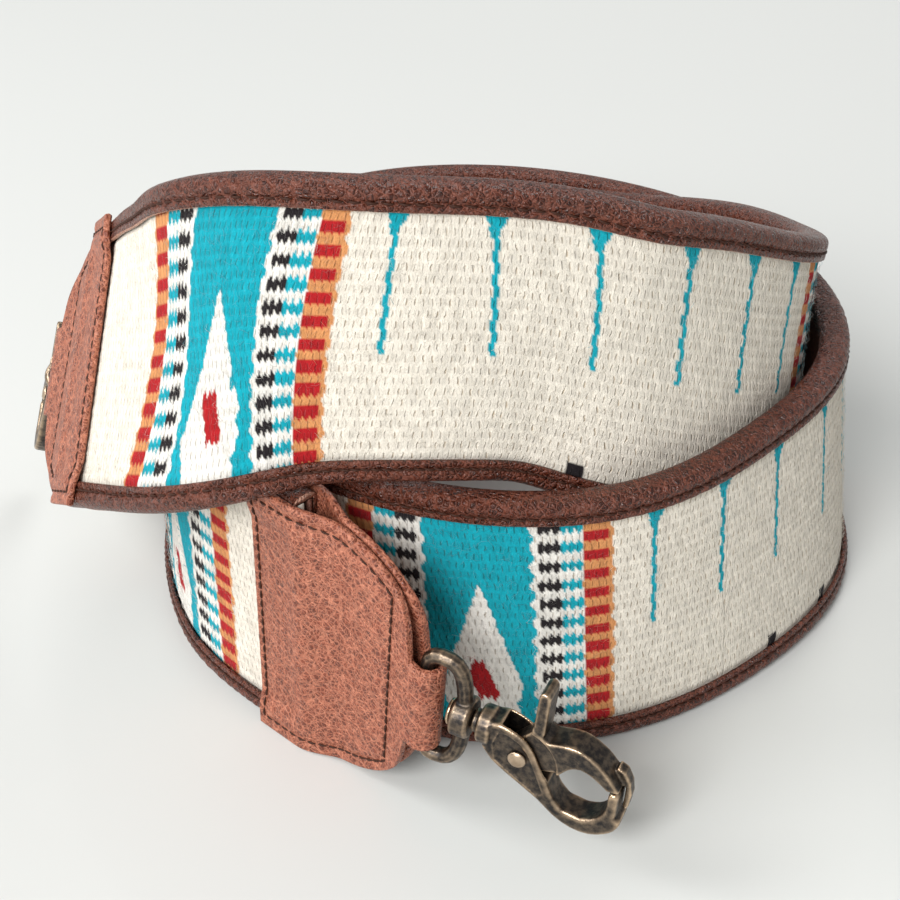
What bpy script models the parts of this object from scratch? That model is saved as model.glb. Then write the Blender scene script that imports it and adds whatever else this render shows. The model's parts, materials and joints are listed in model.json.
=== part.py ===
"""A woven bag strap with leather edges, lying in a loose coil, with a trigger snap clasp at each end.

The band starts inside the front tab, runs clockwise round the coil twice, climbs over its own turns
and ends inside the rear tab. Each tab is one strip of leather folded round the straight bar of a
D-shaped ring. The ring carries a boss, the clasp swivels on a post in that boss, and the clasp's
gate turns on a cross rivet against a small torsion spring.
"""
from math import cos, pi, radians, sin

import bmesh
import bpy
import numpy as np
from mathutils import Matrix, Vector

# Sizes shared by the whole strap, in metres
CLEARANCE = 0.0003
OVERRUN = 0.002
PROBE = 0.0005
ROUND_SIDES = 24
SMALL_ROUND_SIDES = 16
SOFT_CREASE = radians(35)
METAL_CREASE = radians(40)

# The band and its layers, measured across its thickness and width
STRAP_WIDTH = 0.0635
WOOL_THICKNESS = 0.0019
STIFFENER_THICKNESS = 0.0008
LINING_THICKNESS = 0.0009
LAYER_GAP = 0.00025
BINDING_LEATHER = 0.0009
BINDING_DEPTH = 0.0055
BINDING_FOLD = 0.0019
BINDING_ROLL_SHARES = ((1.0, 0.0), (0.42, 1.0))
SECTION_STEP = 0.012

# The coil: each station gives the angle seen from above in degrees, the radius and the lift of
# the lower edge as shares, the outward lean in degrees, and how many turns it lies inside the outer one
COIL_RADIUS = 0.085
TURN_GAP = 0.0007
STATION_SHARES = (
    (243.2, 1.05, 0.0, 0, 0),
    (235.5, 1.0185, 0.0025, 0, 0),
    (227.5, 1.003, 0.004, 0, 0),
    (217.0, 0.986, 0.0035, 0, 0),
    (205.0, 0.955, 0.0015, 0, 0),
    (190.0, 0.93, 0.0, 0, 0),
    (165.0, 0.92, 0.0, 0, 0),
    (138.0, 0.925, 0.0, 0, 0),
    (110.0, 0.925, 0.0, 0, 0),
    (80.0, 0.885, 0.0, 0, 0),
    (55.0, 0.87, 0.0, 0, 0),
    (30.0, 0.905, 0.0, -3, 0),
    (5.0, 0.945, 0.0, -6, 0),
    (-18.0, 0.95, 0.0, -6, 0),
    (-45.0, 0.92, 0.0, -4, 0),
    (-72.0, 0.948, 0.0, 0, 0),
    (-95.0, 0.935, 0.0, 0, 0),
    (-125.0, 0.897, 0.0, 0, -0.15),
    (-155.0, 0.88, 0.0, 0, -0.3),
    (-185.0, 0.866, 0.0, 0, -0.5),
    (-215.0, 0.848, 0.0, 0, -0.7),
    (-250.0, 0.81, 0.0, 0, -0.9),
    (-282.0, 0.834, 0.005, 0, -1),
    (-310.0, 0.859, 0.04, 0, -1),
    (-340.0, 0.874, 0.18, 0, -1),
    (-365.0, 0.894, 0.31, 0, -1),
    (-385.0, 0.899, 0.46, 0, -1),
    (-405.0, 0.894, 0.635, 0, -1),
    (-421.0, 0.909, 0.785, 1, -1),
    (-434.0, 0.93, 0.9, 3, -1),
    (-443.0, 0.92, 0.967, 3, -0.8),
    (-453.0, 0.914, 1.018, 1, -0.35),
    (-466.0, 0.947, 1.045, -1, 0),
    (-477.0, 0.998, 1.035, -4, 0),
    (-484.0, 1.03, 1.0, -8, 0),
    (-491.0, 1.057, 0.928, -12, 0),
    (-502.0, 1.07, 0.775, -16.5, 0),
    (-510.0, 1.076, 0.67, -19, 0),
    (-516.8, 1.086, 0.575, -20.5, 0),
    (-522.7, 1.102, 0.485, -21, 0),
)

# The folded leather tabs
TAB_GRIP = 0.012
GRIP_STEPS = 2
TAB_LENGTH = 0.0455
TAB_LEATHER = 0.0016
TAB_CLOSED_GAP = 0.0005
TAB_CLOSING = 0.012
TAB_OPENING = 0.009
TAB_EDGE_ROUND = 0.00035
TAB_SHOULDER_START = 0.007
TAB_NECK = 0.003
TAB_SHOULDER_POWER = 2.6
TAB_LOOP_WIDTH = 0.0212
TAB_STEPS = 16
TAB_LOOP_STEPS = 8
FRONT_TAB_DROOP = radians(4.5)
REAR_TAB_DROOP = 0.0

# The D-shaped ring and the boss on its arc
RING_WIRE = 0.0034
RING_HALF_HEIGHT = 0.0131
RING_DEPTH = 0.0082
RING_CORNER = 0.0026
RING_ARC_POWER = 3
RING_ARC_STEPS = 14
RING_CORNER_STEPS = 3
RING_WIRE_SIDES = 10
BOSS_RADIUS = 0.0044
BOSS_LENGTH = 0.004
BOSS_ROUND = 0.0005
FRONT_RING_SWING = radians(20)
REAR_RING_SWING = radians(-8)

# The cast body of the clasp, in the plane of its plate: first number along the post from the
# boss, second number across it towards the lever, both as shares of the clasp's length
CLASP_LENGTH = 0.036
PLATE_THICKNESS = 0.006
PLATE_ROUND = 0.0007
PLATE_FACE_DEPTH = 0.00035
SLOT_WIDTH = 0.0044
POST_SIDES = 20
POST_RADIUS = 0.0015
POST_HEAD_RADIUS = 0.0028
POST_HEAD_LENGTH = 0.0009
POST_HEAD_ROUND = 0.0003
NECK_RADIUS = 0.0024
NECK_LENGTH = 0.0013
COLLAR_RADIUS = 0.004
COLLAR_LENGTH = 0.003
COLLAR_ROUND = 0.0004
BACK_EDGE_SHARES = ((0.14, -0.105), (0.14, 0.07))
UPPER_EDGE_SHARES = (
    (0.175, 0.083), (0.225, 0.098), (0.285, 0.09), (0.375, 0.05), (0.43, -0.01), (0.465, -0.08), (0.505, -0.165),
)
JAW_SHARES = (
    (0.52, -0.18), (0.547, -0.242), (0.58, -0.308), (0.635, -0.363),
)
JAW_FAR_SHARES = (
    (0.735, -0.377), (0.8, -0.356), (0.845, -0.31), (0.868, -0.25), (0.872, -0.18),
)
HOOK_TIP_SHARES = ((0.872, -0.14), (0.89, -0.117), (0.918, -0.117), (0.93, -0.14))
HOOK_SIDE_SHARES = ((0.93, -0.285), (0.958, -0.308))
LOWER_EDGE_SHARES = (
    (0.958, -0.335), (0.935, -0.385), (0.89, -0.43), (0.8, -0.475), (0.69, -0.475), (0.58, -0.427),
    (0.483, -0.35), (0.286, -0.236), (0.2, -0.178),
)
FACE_SHARES = (
    (0.235, 0.05), (0.29, 0.045), (0.355, 0.012), (0.4, -0.04), (0.43, -0.1), (0.47, -0.19), (0.51, -0.285),
    (0.485, -0.315), (0.3, -0.205), (0.225, -0.155), (0.205, -0.05),
)
SLOT_SHARES = (
    (0.24, 0.2), (0.24, -0.13), (0.28, -0.185), (0.35, -0.207), (0.6, -0.207), (0.6, 0.2),
)

# The cross rivet, the gate with its lever, and the spring between the gate's ears
RIVET_PLACE_SHARES = (0.35, -0.1)
RIVET_RADIUS = 0.0009
RIVET_HEAD_RADIUS = 0.002
RIVET_DOME = 0.0009
RIVET_HEAD_STEPS = 4
GATE_WEB_THICKNESS = 0.0038
GATE_EAR_THICKNESS = 0.00055
GATE_EAR_SHARE = 0.0917
GATE_SHOULDER_SHARE = 0.2222
GATE_ROUND = 0.00045
GATE_SHOULDER_FROM = radians(-6)
GATE_SHOULDER_TO = radians(75)
GATE_SHOULDER_STEPS = 6
GATE_EAR_FROM = radians(125)
GATE_EAR_TO = radians(270)
GATE_EAR_STEPS = 8
LEVER_WIDTH = 0.0055
LEVER_ROUND = 0.0004
LIP_WIDTH = 0.0027
LIP_ROUND = 0.0003
ARM_OUTER_SHARES = (
    (0.415, 0.165), (0.475, 0.117), (0.514, 0.09), (0.608, 0.114), (0.697, 0.111), (0.806, 0.053),
    (0.883, -0.03), (0.93, -0.098),
)
ARM_INNER_SHARES = (
    (0.862, -0.103), (0.783, -0.047), (0.703, -0.019), (0.639, -0.05), (0.588, -0.118),
)
WEB_SHARES = ((0.35, -0.19), (0.42, -0.175), (0.595, -0.12), (0.59, 0.02), (0.49, 0.105), (0.418, 0.12))
LEVER_SHARES = (
    (0.417, 0.13), (0.417, 0.2), (0.425, 0.385), (0.434, 0.408), (0.455, 0.42), (0.478, 0.414), (0.491, 0.39),
    (0.484, 0.13), (0.47, 0.08),
)
LIP_SHARES = (
    (0.86, -0.03), (0.9, -0.085), (0.942, -0.11), (0.942, -0.26), (0.956, -0.275), (0.972, -0.25), (0.98, -0.16),
    (0.967, -0.08), (0.93, -0.01), (0.885, 0.01),
)
SPRING_WIRE = 0.00045
SPRING_RADIUS = 0.0021
SPRING_PITCH = 0.0009
SPRING_TURNS = 2
SPRING_TURN_POINTS = 10
SPRING_START = radians(200)
SPRING_LEG = 0.0011

# What follows from those sizes
HALF_WIDTH = STRAP_WIDTH / 2
STACK_THICKNESS = WOOL_THICKNESS + STIFFENER_THICKNESS + LINING_THICKNESS + 2 * LAYER_GAP
BINDING_INNER = STACK_THICKNESS / 2 + CLEARANCE
BINDING_OUTER = BINDING_INNER + BINDING_LEATHER
TURN_PITCH = 2 * BINDING_OUTER + TURN_GAP
BINDING_EDGE = HALF_WIDTH - BINDING_DEPTH
LAYER_EDGE = HALF_WIDTH - BINDING_FOLD
LEAF_OFFSET = BINDING_OUTER + CLEARANCE + TAB_LEATHER / 2
LOOP_OFFSET = RING_WIRE / 2 + CLEARANCE + TAB_LEATHER / 2
BOSS_BORE = POST_RADIUS + CLEARANCE
RIVET_BORE = RIVET_RADIUS + CLEARANCE
CLOSED_OFFSET = (TAB_CLOSED_GAP + TAB_LEATHER) / 2
TAB_SHOULDER_END = TAB_LENGTH - TAB_NECK
RIVET_X, RIVET_Z = (share * CLASP_LENGTH for share in RIVET_PLACE_SHARES)
GATE_EAR_RADIUS = GATE_EAR_SHARE * CLASP_LENGTH
GATE_SHOULDER_RADIUS = GATE_SHOULDER_SHARE * CLASP_LENGTH

# Colours: red, green, blue, roughness and metallic value
CREAM_WOOL = (0.80, 0.75, 0.66, 0.95, 0.0)
FELT = (0.42, 0.38, 0.32, 0.95, 0.0)
BROWN_LEATHER = (0.235, 0.085, 0.05, 0.5, 0.0)
LINING_LEATHER = (0.25, 0.11, 0.07, 0.6, 0.0)
ANTIQUE_BRASS = (0.30, 0.24, 0.17, 0.4, 1.0)
RIVET_BRASS = (0.55, 0.42, 0.30, 0.3, 1.0)
SPRING_STEEL = (0.45, 0.43, 0.40, 0.3, 1.0)


# Scene and objects
def clear_scene():
    for item in list(bpy.data.objects):
        bpy.data.objects.remove(item, do_unlink=True)


def material(name, look):
    """A Principled material with the look's colour, roughness and metallic value."""
    made = bpy.data.materials.new(name)
    made.use_nodes = True
    shader = made.node_tree.nodes["Principled BSDF"]
    shader.inputs["Base Color"].default_value = (*look[:3], 1)
    shader.inputs["Roughness"].default_value = look[3]
    shader.inputs["Metallic"].default_value = look[4]
    return made


def add_object(name, form):
    """An object that holds the bmesh, with its faces pointing out."""
    bmesh.ops.recalc_face_normals(form, faces=form.faces)
    mesh = bpy.data.meshes.new(name)
    form.to_mesh(mesh)
    form.free()
    item = bpy.data.objects.new(name, mesh)
    bpy.context.collection.objects.link(item)
    return item


def finish(item, look, smooth_angle=None):
    """Give the object its material and, where it is round, smooth shading."""
    item.data.materials.clear()
    item.data.materials.append(material(item.name, look))
    if smooth_angle:
        item.data.shade_smooth()
        item.data.set_sharp_from_angle(angle=smooth_angle)
    return item


def combine(target, tools, operation):
    """Join the tools to the target or cut them out of it, one after another."""
    for tool in tools:
        cut = target.modifiers.new(operation.lower(), "BOOLEAN")
        cut.operation = operation
        cut.solver = "EXACT"
        cut.object = tool
        bpy.context.view_layer.update()
        seen = target.evaluated_get(bpy.context.evaluated_depsgraph_get())
        result = bpy.data.meshes.new_from_object(seen)
        target.modifiers.clear()
        target.data = result
        bpy.data.objects.remove(tool, do_unlink=True)
    return target


# Outlines in the plane of the clasp's plate
def in_length(shares):
    return [(x * CLASP_LENGTH, z * CLASP_LENGTH) for x, z in shares]


def smooth_run(points, pieces=2):
    """A curve through the points, with the given pieces between neighbours."""
    run = []
    last = len(points) - 1
    for i in range(last):
        a, b = Vector(points[max(i - 1, 0)]), Vector(points[i])
        c, d = Vector(points[i + 1]), Vector(points[min(i + 2, last)])
        for j in range(pieces):
            t = j / pieces
            spot = 2 * b + (c - a) * t + (2 * a - 5 * b + 4 * c - d) * t**2 + (3 * b - a - 3 * c + d) * t**3
            run.append(tuple(spot / 2))
    run.append(tuple(points[-1]))
    return run


def arc(centre, radius, start, end, steps):
    turn = (end - start) / steps
    return [(centre[0] + radius * cos(start + turn * i), centre[1] + radius * sin(start + turn * i))
            for i in range(steps + 1)]


def plate(name, outline, low, high, rounding=0.0):
    """The outline extruded from low to high along the plate's normal, its rims rounded."""
    form = bmesh.new()
    base = form.faces.new([form.verts.new((x, low, z)) for x, z in outline])
    top = bmesh.ops.extrude_face_region(form, geom=[base])["geom"]
    raised = [part for part in top if isinstance(part, bmesh.types.BMVert)]
    bmesh.ops.translate(form, verts=raised, vec=(0, high - low, 0))
    if rounding:
        form.normal_update()
        rims = [edge for edge in form.edges if abs(edge.verts[0].co.y - edge.verts[1].co.y) < rounding]
        bmesh.ops.bevel(form, geom=rims, offset=rounding, segments=2, profile=0.5, affect="EDGES",
                        clamp_overlap=True)
    return add_object(name, form)


def turned(name, profile, direction, sides=ROUND_SIDES):
    """A solid of revolution; the profile gives the place along the axis and the radius."""
    form = bmesh.new()
    rings = []
    for along, radius in profile:
        ring = []
        for i in range(sides):
            angle = 2 * pi * i / sides
            u, v = radius * cos(angle), radius * sin(angle)
            ring.append(form.verts.new((along, u, v) if direction == "X" else (u, along, v)))
        rings.append(ring)
    for first, second in zip(rings, rings[1:]):
        for i in range(sides):
            j = (i + 1) % sides
            form.faces.new((first[i], first[j], second[j], second[i]))
    form.faces.new(rings[0])
    form.faces.new(rings[-1])
    return add_object(name, form)


# The path of the band
class BandPath:
    """A natural cubic curve through the coil's stations, with the lean as its fourth value."""

    def __init__(self):
        rows = []
        for angle, radius, lift, lean, turn in STATION_SHARES:
            out = COIL_RADIUS * radius + turn * TURN_PITCH
            rise = HALF_WIDTH + STRAP_WIDTH * lift
            rows.append((out * cos(radians(angle)), out * sin(radians(angle)), rise, radians(lean)))
        self.knots = np.array(rows)
        steps = np.linalg.norm(np.diff(self.knots[:, :3], axis=0), axis=1)
        self.marks = np.concatenate(([0.0], np.cumsum(steps)))
        self.length = self.marks[-1]
        count = len(rows)
        system = np.eye(count)
        wanted = np.zeros_like(self.knots)
        slopes = np.diff(self.knots, axis=0) / steps[:, None]
        for i in range(1, count - 1):
            system[i, i - 1:i + 2] = steps[i - 1], 2 * (steps[i - 1] + steps[i]), steps[i]
            wanted[i] = 6 * (slopes[i] - slopes[i - 1])
        self.bends = np.linalg.solve(system, wanted)

    def at(self, places):
        places = np.clip(places, 0, self.length)
        i = np.clip(np.searchsorted(self.marks, places, side="right") - 1, 0, len(self.marks) - 2)
        after = (self.marks[i + 1] - places)[:, None]
        before = (places - self.marks[i])[:, None]
        step = after + before
        bent = (self.bends[i] * after**3 + self.bends[i + 1] * before**3) / (6 * step)
        return (bent + (self.knots[i] / step - self.bends[i] * step / 6) * after
                + (self.knots[i + 1] / step - self.bends[i + 1] * step / 6) * before)

    def frames(self, places):
        """Point, travel, width and outward directions at each place along the band."""
        places = np.asarray(places, dtype=float)
        spots = self.at(places)
        travel = self.at(places + PROBE)[:, :3] - self.at(places - PROBE)[:, :3]
        travel /= np.linalg.norm(travel, axis=1)[:, None]
        flat = np.column_stack((-travel[:, 1], travel[:, 0], np.zeros(len(places))))
        flat /= np.linalg.norm(flat, axis=1)[:, None]
        lean = spots[:, 3:4]
        width = np.cos(lean) * np.array((0.0, 0.0, 1.0)) + np.sin(lean) * flat
        width -= (width * travel).sum(1)[:, None] * travel
        width /= np.linalg.norm(width, axis=1)[:, None]
        return spots[:, :3], travel, width, np.cross(width, travel)


def loft(name, rings, heights):
    """One closed body through rings of points. The heights of a ring's points set which way each
    quad is split, so that neighbouring layers of the band split alike and stay apart."""
    form = bmesh.new()
    grid = [[form.verts.new(point) for point in ring] for ring in rings]
    size = len(heights)
    for first, second in zip(grid, grid[1:]):
        for j in range(size):
            k = (j + 1) % size
            if heights[j] <= heights[k]:
                form.faces.new((first[j], first[k], second[k]))
                form.faces.new((first[j], second[k], second[j]))
            else:
                form.faces.new((first[j], first[k], second[j]))
                form.faces.new((first[k], second[k], second[j]))
    form.faces.new(grid[0])
    form.faces.new(grid[-1])
    return add_object(name, form)


def along_band(name, frames, section):
    """Loft a section, given as thickness and height, along the band."""
    spot, _, width, out = frames
    rings = [[spot[i] + n * out[i] + w * width[i] for n, w in section] for i in range(len(spot))]
    return loft(name, rings, [w for _, w in section])


def layer_section(low, high, edge, inner_edge):
    """A flat layer that splits where the bindings end."""
    return ((low, -edge), (high, -edge), (high, -inner_edge), (high, inner_edge),
            (high, edge), (low, edge), (low, inner_edge), (low, -inner_edge))


def plain_section(low, high, edge):
    return ((low, -edge), (high, -edge), (high, edge), (low, edge))


def binding_section(side):
    """A strip of leather folded over one edge of the band: side is 1 above and -1 below."""
    roll = [(share * BINDING_OUTER, HALF_WIDTH - (1 - drop) * 2 * BINDING_LEATHER)
            for share, drop in BINDING_ROLL_SHARES]
    outer = [(BINDING_OUTER, BINDING_EDGE), *roll]
    inner = [(BINDING_INNER, LAYER_EDGE + CLEARANCE), (BINDING_INNER, BINDING_EDGE)]
    half = [*inner[::-1][:1], *outer]
    mirrored = [(-n, w) for n, w in reversed(half)]
    section = [*half, *mirrored, (-BINDING_INNER, LAYER_EDGE + CLEARANCE), inner[0]]
    return [(n, side * w) for n, w in section]


def make_band(path):
    count = round((path.length - 2 * TAB_GRIP) / SECTION_STEP) + 1
    held = np.linspace(0, TAB_GRIP, GRIP_STEPS + 1)[:-1]
    free = np.linspace(TAB_GRIP, path.length - TAB_GRIP, count)
    frames = path.frames(np.concatenate((held, free, path.length - held[::-1])))
    back = -STACK_THICKNESS / 2
    stiffener = back + LINING_THICKNESS + LAYER_GAP
    wool = stiffener + STIFFENER_THICKNESS + LAYER_GAP
    rows = (
        ("leather_lining", LINING_LEATHER,
         layer_section(back, back + LINING_THICKNESS, LAYER_EDGE, BINDING_EDGE)),
        ("interlining", FELT,
         plain_section(stiffener, stiffener + STIFFENER_THICKNESS, BINDING_EDGE)),
        ("woven_band", CREAM_WOOL,
         layer_section(wool, wool + WOOL_THICKNESS, LAYER_EDGE, BINDING_EDGE)),
        ("upper_edge_binding", BROWN_LEATHER, binding_section(1)),
        ("lower_edge_binding", BROWN_LEATHER, binding_section(-1)),
    )
    for name, look, section in rows:
        finish(along_band(name, frames, section), look, SOFT_CREASE)


# The folded tabs
def eased(reach, start, end):
    """A share that rises smoothly from 0 to 1 between two reaches."""
    t = min(max((reach - start) / (end - start), 0), 1)
    return t * t * (3 - 2 * t)


def tab_spine(path, at_start, droop):
    """Point, heading, width and outward directions from the leaf's edge to the ring's bar."""
    free = np.linspace(TAB_GRIP, TAB_LENGTH, TAB_STEPS)
    reach = np.linspace(0, TAB_GRIP, GRIP_STEPS + 1)
    places = TAB_GRIP - reach if at_start else path.length - TAB_GRIP + reach
    spot, travel, width, out = path.frames(places)
    heading = -travel if at_start else travel
    rows = [(reach[i], spot[i], heading[i], width[i], out[i]) for i in range(len(reach))]
    _, here, ahead, across, away = rows[-1]
    for before, now in zip(free, free[1:]):
        angle = droop * eased(now, TAB_GRIP, TAB_LENGTH)
        forward = cos(angle) * ahead - sin(angle) * across
        upward = cos(angle) * across + sin(angle) * ahead
        here = here + (now - before) * forward
        rows.append((now, here, forward, upward, away))
    return rows


def tab_offset(reach):
    """From the middle of the tab to the middle of a leaf: over the band, closed, then round the bar."""
    closing = (CLOSED_OFFSET - LEAF_OFFSET) * eased(reach, TAB_GRIP, TAB_GRIP + TAB_CLOSING)
    opening = (LOOP_OFFSET - CLOSED_OFFSET) * eased(reach, TAB_LENGTH - TAB_OPENING, TAB_LENGTH)
    return LEAF_OFFSET + closing + opening


def tab_half_width(reach):
    """Full width at the leaf, a convex shoulder, then the narrow loop round the bar."""
    t = (reach - TAB_SHOULDER_START) / (TAB_SHOULDER_END - TAB_SHOULDER_START)
    t = min(max(t, 0), 1)
    shoulder = (1 - t**TAB_SHOULDER_POWER) ** (1 / TAB_SHOULDER_POWER)
    return TAB_LOOP_WIDTH / 2 + (HALF_WIDTH - TAB_LOOP_WIDTH / 2) * shoulder


def make_tab(name, path, at_start, droop):
    """One strip of leather: the outer leaf, the loop round the bar and the inner leaf."""
    rows = tab_spine(path, at_start, droop)
    fold = []
    for reach, spot, _, width, out in rows:
        fold.append((reach, spot, width, out, tab_offset(reach)))
    reach, bar, ahead, width, out = rows[-1]
    strip = [(r, spot + offset * away, across, away) for r, spot, across, away, offset in fold]
    for i in range(1, TAB_LOOP_STEPS):
        angle = pi * i / TAB_LOOP_STEPS
        away = cos(angle) * out + sin(angle) * ahead
        strip.append((reach, bar + LOOP_OFFSET * away, width, away))
    strip += [(r, spot - offset * away, across, -away) for r, spot, across, away, offset in reversed(fold)]
    rings = []
    for r, centre, across, away in strip:
        edge = tab_half_width(r)
        skin = TAB_LEATHER / 2
        inset = TAB_EDGE_ROUND
        seam = edge * BINDING_EDGE / HALF_WIDTH
        half = ((seam, -skin), (edge - inset, -skin), (edge, inset - skin),
                (edge, skin - inset), (edge - inset, skin), (seam, skin))
        section = (*half, *((-w, n) for w, n in reversed(half)))
        rings.append([centre + w * across + n * away for w, n in section])
    heights = (1, 2, 3, 3, 2, 1, -1, -2, -3, -3, -2, -1)
    finish(loft(name, rings, heights), BROWN_LEATHER, SOFT_CREASE)
    return bar, ahead, width


# The swivelling trigger snap clasp, modelled with the post along X, the plate's normal along Y
# and the lever towards Z
def ring_route():
    """The closed centre line of the ring: straight bar, round corners and a squarish arc."""
    straight = RING_HALF_HEIGHT - RING_CORNER
    base = RING_DEPTH - RING_CORNER
    upper = arc((RING_CORNER, straight), RING_CORNER, pi, pi / 2, RING_CORNER_STEPS)
    route = [(0, 0), *upper]
    for i in range(1, RING_ARC_STEPS):
        angle = pi / 2 - pi * i / RING_ARC_STEPS
        reach = cos(angle) ** (2 / RING_ARC_POWER)
        rise = abs(sin(angle)) ** (2 / RING_ARC_POWER)
        route.append((RING_CORNER + base * reach, RING_HALF_HEIGHT * (rise if angle > 0 else -rise)))
    route += [(x, -z) for x, z in reversed(upper)]
    return route


def make_ring(name):
    """The ring with the boss on its arc, bored for the post. Its origin is on the bar."""
    route = [Vector((x, 0, z)) for x, z in ring_route()]
    count = len(route)
    form = bmesh.new()
    rings = []
    for i, spot in enumerate(route):
        travel = (route[(i + 1) % count] - route[i - 1]).normalized()
        side = Vector((0, 1, 0))
        away = travel.cross(side)
        ring = []
        for j in range(RING_WIRE_SIDES):
            angle = 2 * pi * j / RING_WIRE_SIDES
            ring.append(form.verts.new(spot + RING_WIRE / 2 * (cos(angle) * away + sin(angle) * side)))
        rings.append(ring)
    for i in range(count):
        first, second = rings[i], rings[(i + 1) % count]
        for j in range(RING_WIRE_SIDES):
            k = (j + 1) % RING_WIRE_SIDES
            form.faces.new((first[j], first[k], second[k], second[j]))
    ring = add_object(name, form)
    near, far = RING_DEPTH - BOSS_LENGTH / 2, RING_DEPTH + BOSS_LENGTH / 2
    rim = BOSS_RADIUS - BOSS_ROUND
    boss = turned("boss", ((near, rim), (near + BOSS_ROUND, BOSS_RADIUS), (far - BOSS_ROUND, BOSS_RADIUS),
                           (far, rim)), "X")
    bore = turned("bore", ((near - OVERRUN, BOSS_BORE), (far + OVERRUN, BOSS_BORE)), "X")
    combine(ring, [boss], "UNION")
    combine(ring, [bore], "DIFFERENCE")
    return finish(ring, ANTIQUE_BRASS, METAL_CREASE)


def body_outline():
    back = in_length(BACK_EDGE_SHARES)
    upper = smooth_run(in_length(UPPER_EDGE_SHARES))
    jaw = smooth_run(in_length(JAW_SHARES))
    far = smooth_run(in_length(JAW_FAR_SHARES))
    tip = smooth_run(in_length(HOOK_TIP_SHARES))
    side = in_length(HOOK_SIDE_SHARES)
    lower = smooth_run(in_length(LOWER_EDGE_SHARES))
    return [*back, *upper, *jaw, *far, *tip, *side, *lower]


def make_clasp_body(name):
    """The casting: a hook plate with a slot between two cheeks, and the post with its head."""
    half = PLATE_THICKNESS / 2
    body = plate(name, body_outline(), -half, half, PLATE_ROUND)
    neck = BOSS_LENGTH / 2 + CLEARANCE
    collar = neck + NECK_LENGTH
    collar_end = collar + COLLAR_LENGTH
    profile = (
        (-neck - POST_HEAD_LENGTH, POST_HEAD_RADIUS - 2 * POST_HEAD_ROUND),
        (-neck - POST_HEAD_LENGTH + POST_HEAD_ROUND, POST_HEAD_RADIUS),
        (-neck, POST_HEAD_RADIUS),
        (-neck, POST_RADIUS),
        (neck, POST_RADIUS),
        (neck, NECK_RADIUS),
        (collar, NECK_RADIUS),
        (collar, COLLAR_RADIUS - COLLAR_ROUND),
        (collar + COLLAR_ROUND, COLLAR_RADIUS),
        (collar_end - COLLAR_ROUND, COLLAR_RADIUS),
        (collar_end, COLLAR_RADIUS - COLLAR_ROUND),
        (collar_end + COLLAR_ROUND, NECK_RADIUS),
    )
    combine(body, [turned("post", profile, "X", POST_SIDES)], "UNION")
    slot = plate("slot", in_length(SLOT_SHARES), -SLOT_WIDTH / 2, SLOT_WIDTH / 2)
    faces = [plate("face", in_length(FACE_SHARES), side * (half - PLATE_FACE_DEPTH), side * (half + OVERRUN))
             for side in (-1, 1)]
    bore = turned("bore", ((-half - OVERRUN, RIVET_BORE), (half + OVERRUN, RIVET_BORE)), "Y", SMALL_ROUND_SIDES)
    bore.data.transform(Matrix.Translation((RIVET_X, 0, RIVET_Z)))
    combine(body, [slot, *faces, bore], "DIFFERENCE")
    return finish(body, ANTIQUE_BRASS, METAL_CREASE)


def make_gate(name):
    """The gate: ears on the rivet, a web in the slot, the arm, its lip and the thumb lever."""
    half = PLATE_THICKNESS / 2
    centre = (RIVET_X, RIVET_Z)
    shoulder = arc(centre, GATE_SHOULDER_RADIUS, GATE_SHOULDER_FROM, GATE_SHOULDER_TO, GATE_SHOULDER_STEPS)
    arm = [*shoulder, *smooth_run(in_length(ARM_OUTER_SHARES)), *smooth_run(in_length(ARM_INNER_SHARES))]
    gate = plate(name, arm, -half, half, GATE_ROUND)
    ear = arc(centre, GATE_EAR_RADIUS, GATE_EAR_FROM, GATE_EAR_TO, GATE_EAR_STEPS)
    web_half = GATE_WEB_THICKNESS / 2
    web = plate("web", [*ear, *in_length(WEB_SHARES)[1:]], -web_half, web_half)
    lever = plate("lever", in_length(LEVER_SHARES), -LEVER_WIDTH / 2, LEVER_WIDTH / 2, LEVER_ROUND)
    lip = plate("lip", in_length(LIP_SHARES), half - LIP_ROUND - LIP_WIDTH, half - LIP_ROUND, LIP_ROUND)
    combine(gate, [web, lever, lip], "UNION")
    room = web_half - GATE_EAR_THICKNESS
    gap = turned("gap", ((-room, GATE_EAR_RADIUS), (room, GATE_EAR_RADIUS)), "Y")
    bore = turned("bore", ((-half, RIVET_BORE), (half, RIVET_BORE)), "Y", SMALL_ROUND_SIDES)
    for tool in (gap, bore):
        tool.data.transform(Matrix.Translation((RIVET_X, 0, RIVET_Z)))
    combine(gate, [gap, bore], "DIFFERENCE")
    gate.data.transform(Matrix.Translation((-RIVET_X, 0, -RIVET_Z)))
    return finish(gate, ANTIQUE_BRASS, METAL_CREASE)


def make_rivet(name):
    """The cross rivet, with a dome on each cheek. Its origin is the gate's axis."""
    seat = PLATE_THICKNESS / 2 - PLATE_FACE_DEPTH + CLEARANCE
    dome = [(seat + RIVET_DOME * sin(pi / 2 * i / RIVET_HEAD_STEPS),
             RIVET_HEAD_RADIUS * cos(pi / 2 * i / RIVET_HEAD_STEPS)) for i in range(RIVET_HEAD_STEPS)]
    half = [(seat, RIVET_RADIUS), *dome]
    profile = [(-y, r) for y, r in reversed(half)] + half
    return finish(turned(name, profile, "Y", SMALL_ROUND_SIDES), RIVET_BRASS, METAL_CREASE)


def spring_route():
    """The spring's centre line: a short leg, the turns round the rivet, a short leg."""
    steps = SPRING_TURNS * SPRING_TURN_POINTS
    turns = []
    for i in range(steps + 1):
        angle = SPRING_START + 2 * pi * i / SPRING_TURN_POINTS
        along = SPRING_PITCH * (i / SPRING_TURN_POINTS - SPRING_TURNS / 2)
        turns.append(Vector((SPRING_RADIUS * cos(angle), along, SPRING_RADIUS * sin(angle))))
    first = Vector((sin(SPRING_START), 0, -cos(SPRING_START)))
    return [turns[0] + SPRING_LEG * first, *turns, turns[-1] - SPRING_LEG * first]


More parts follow.
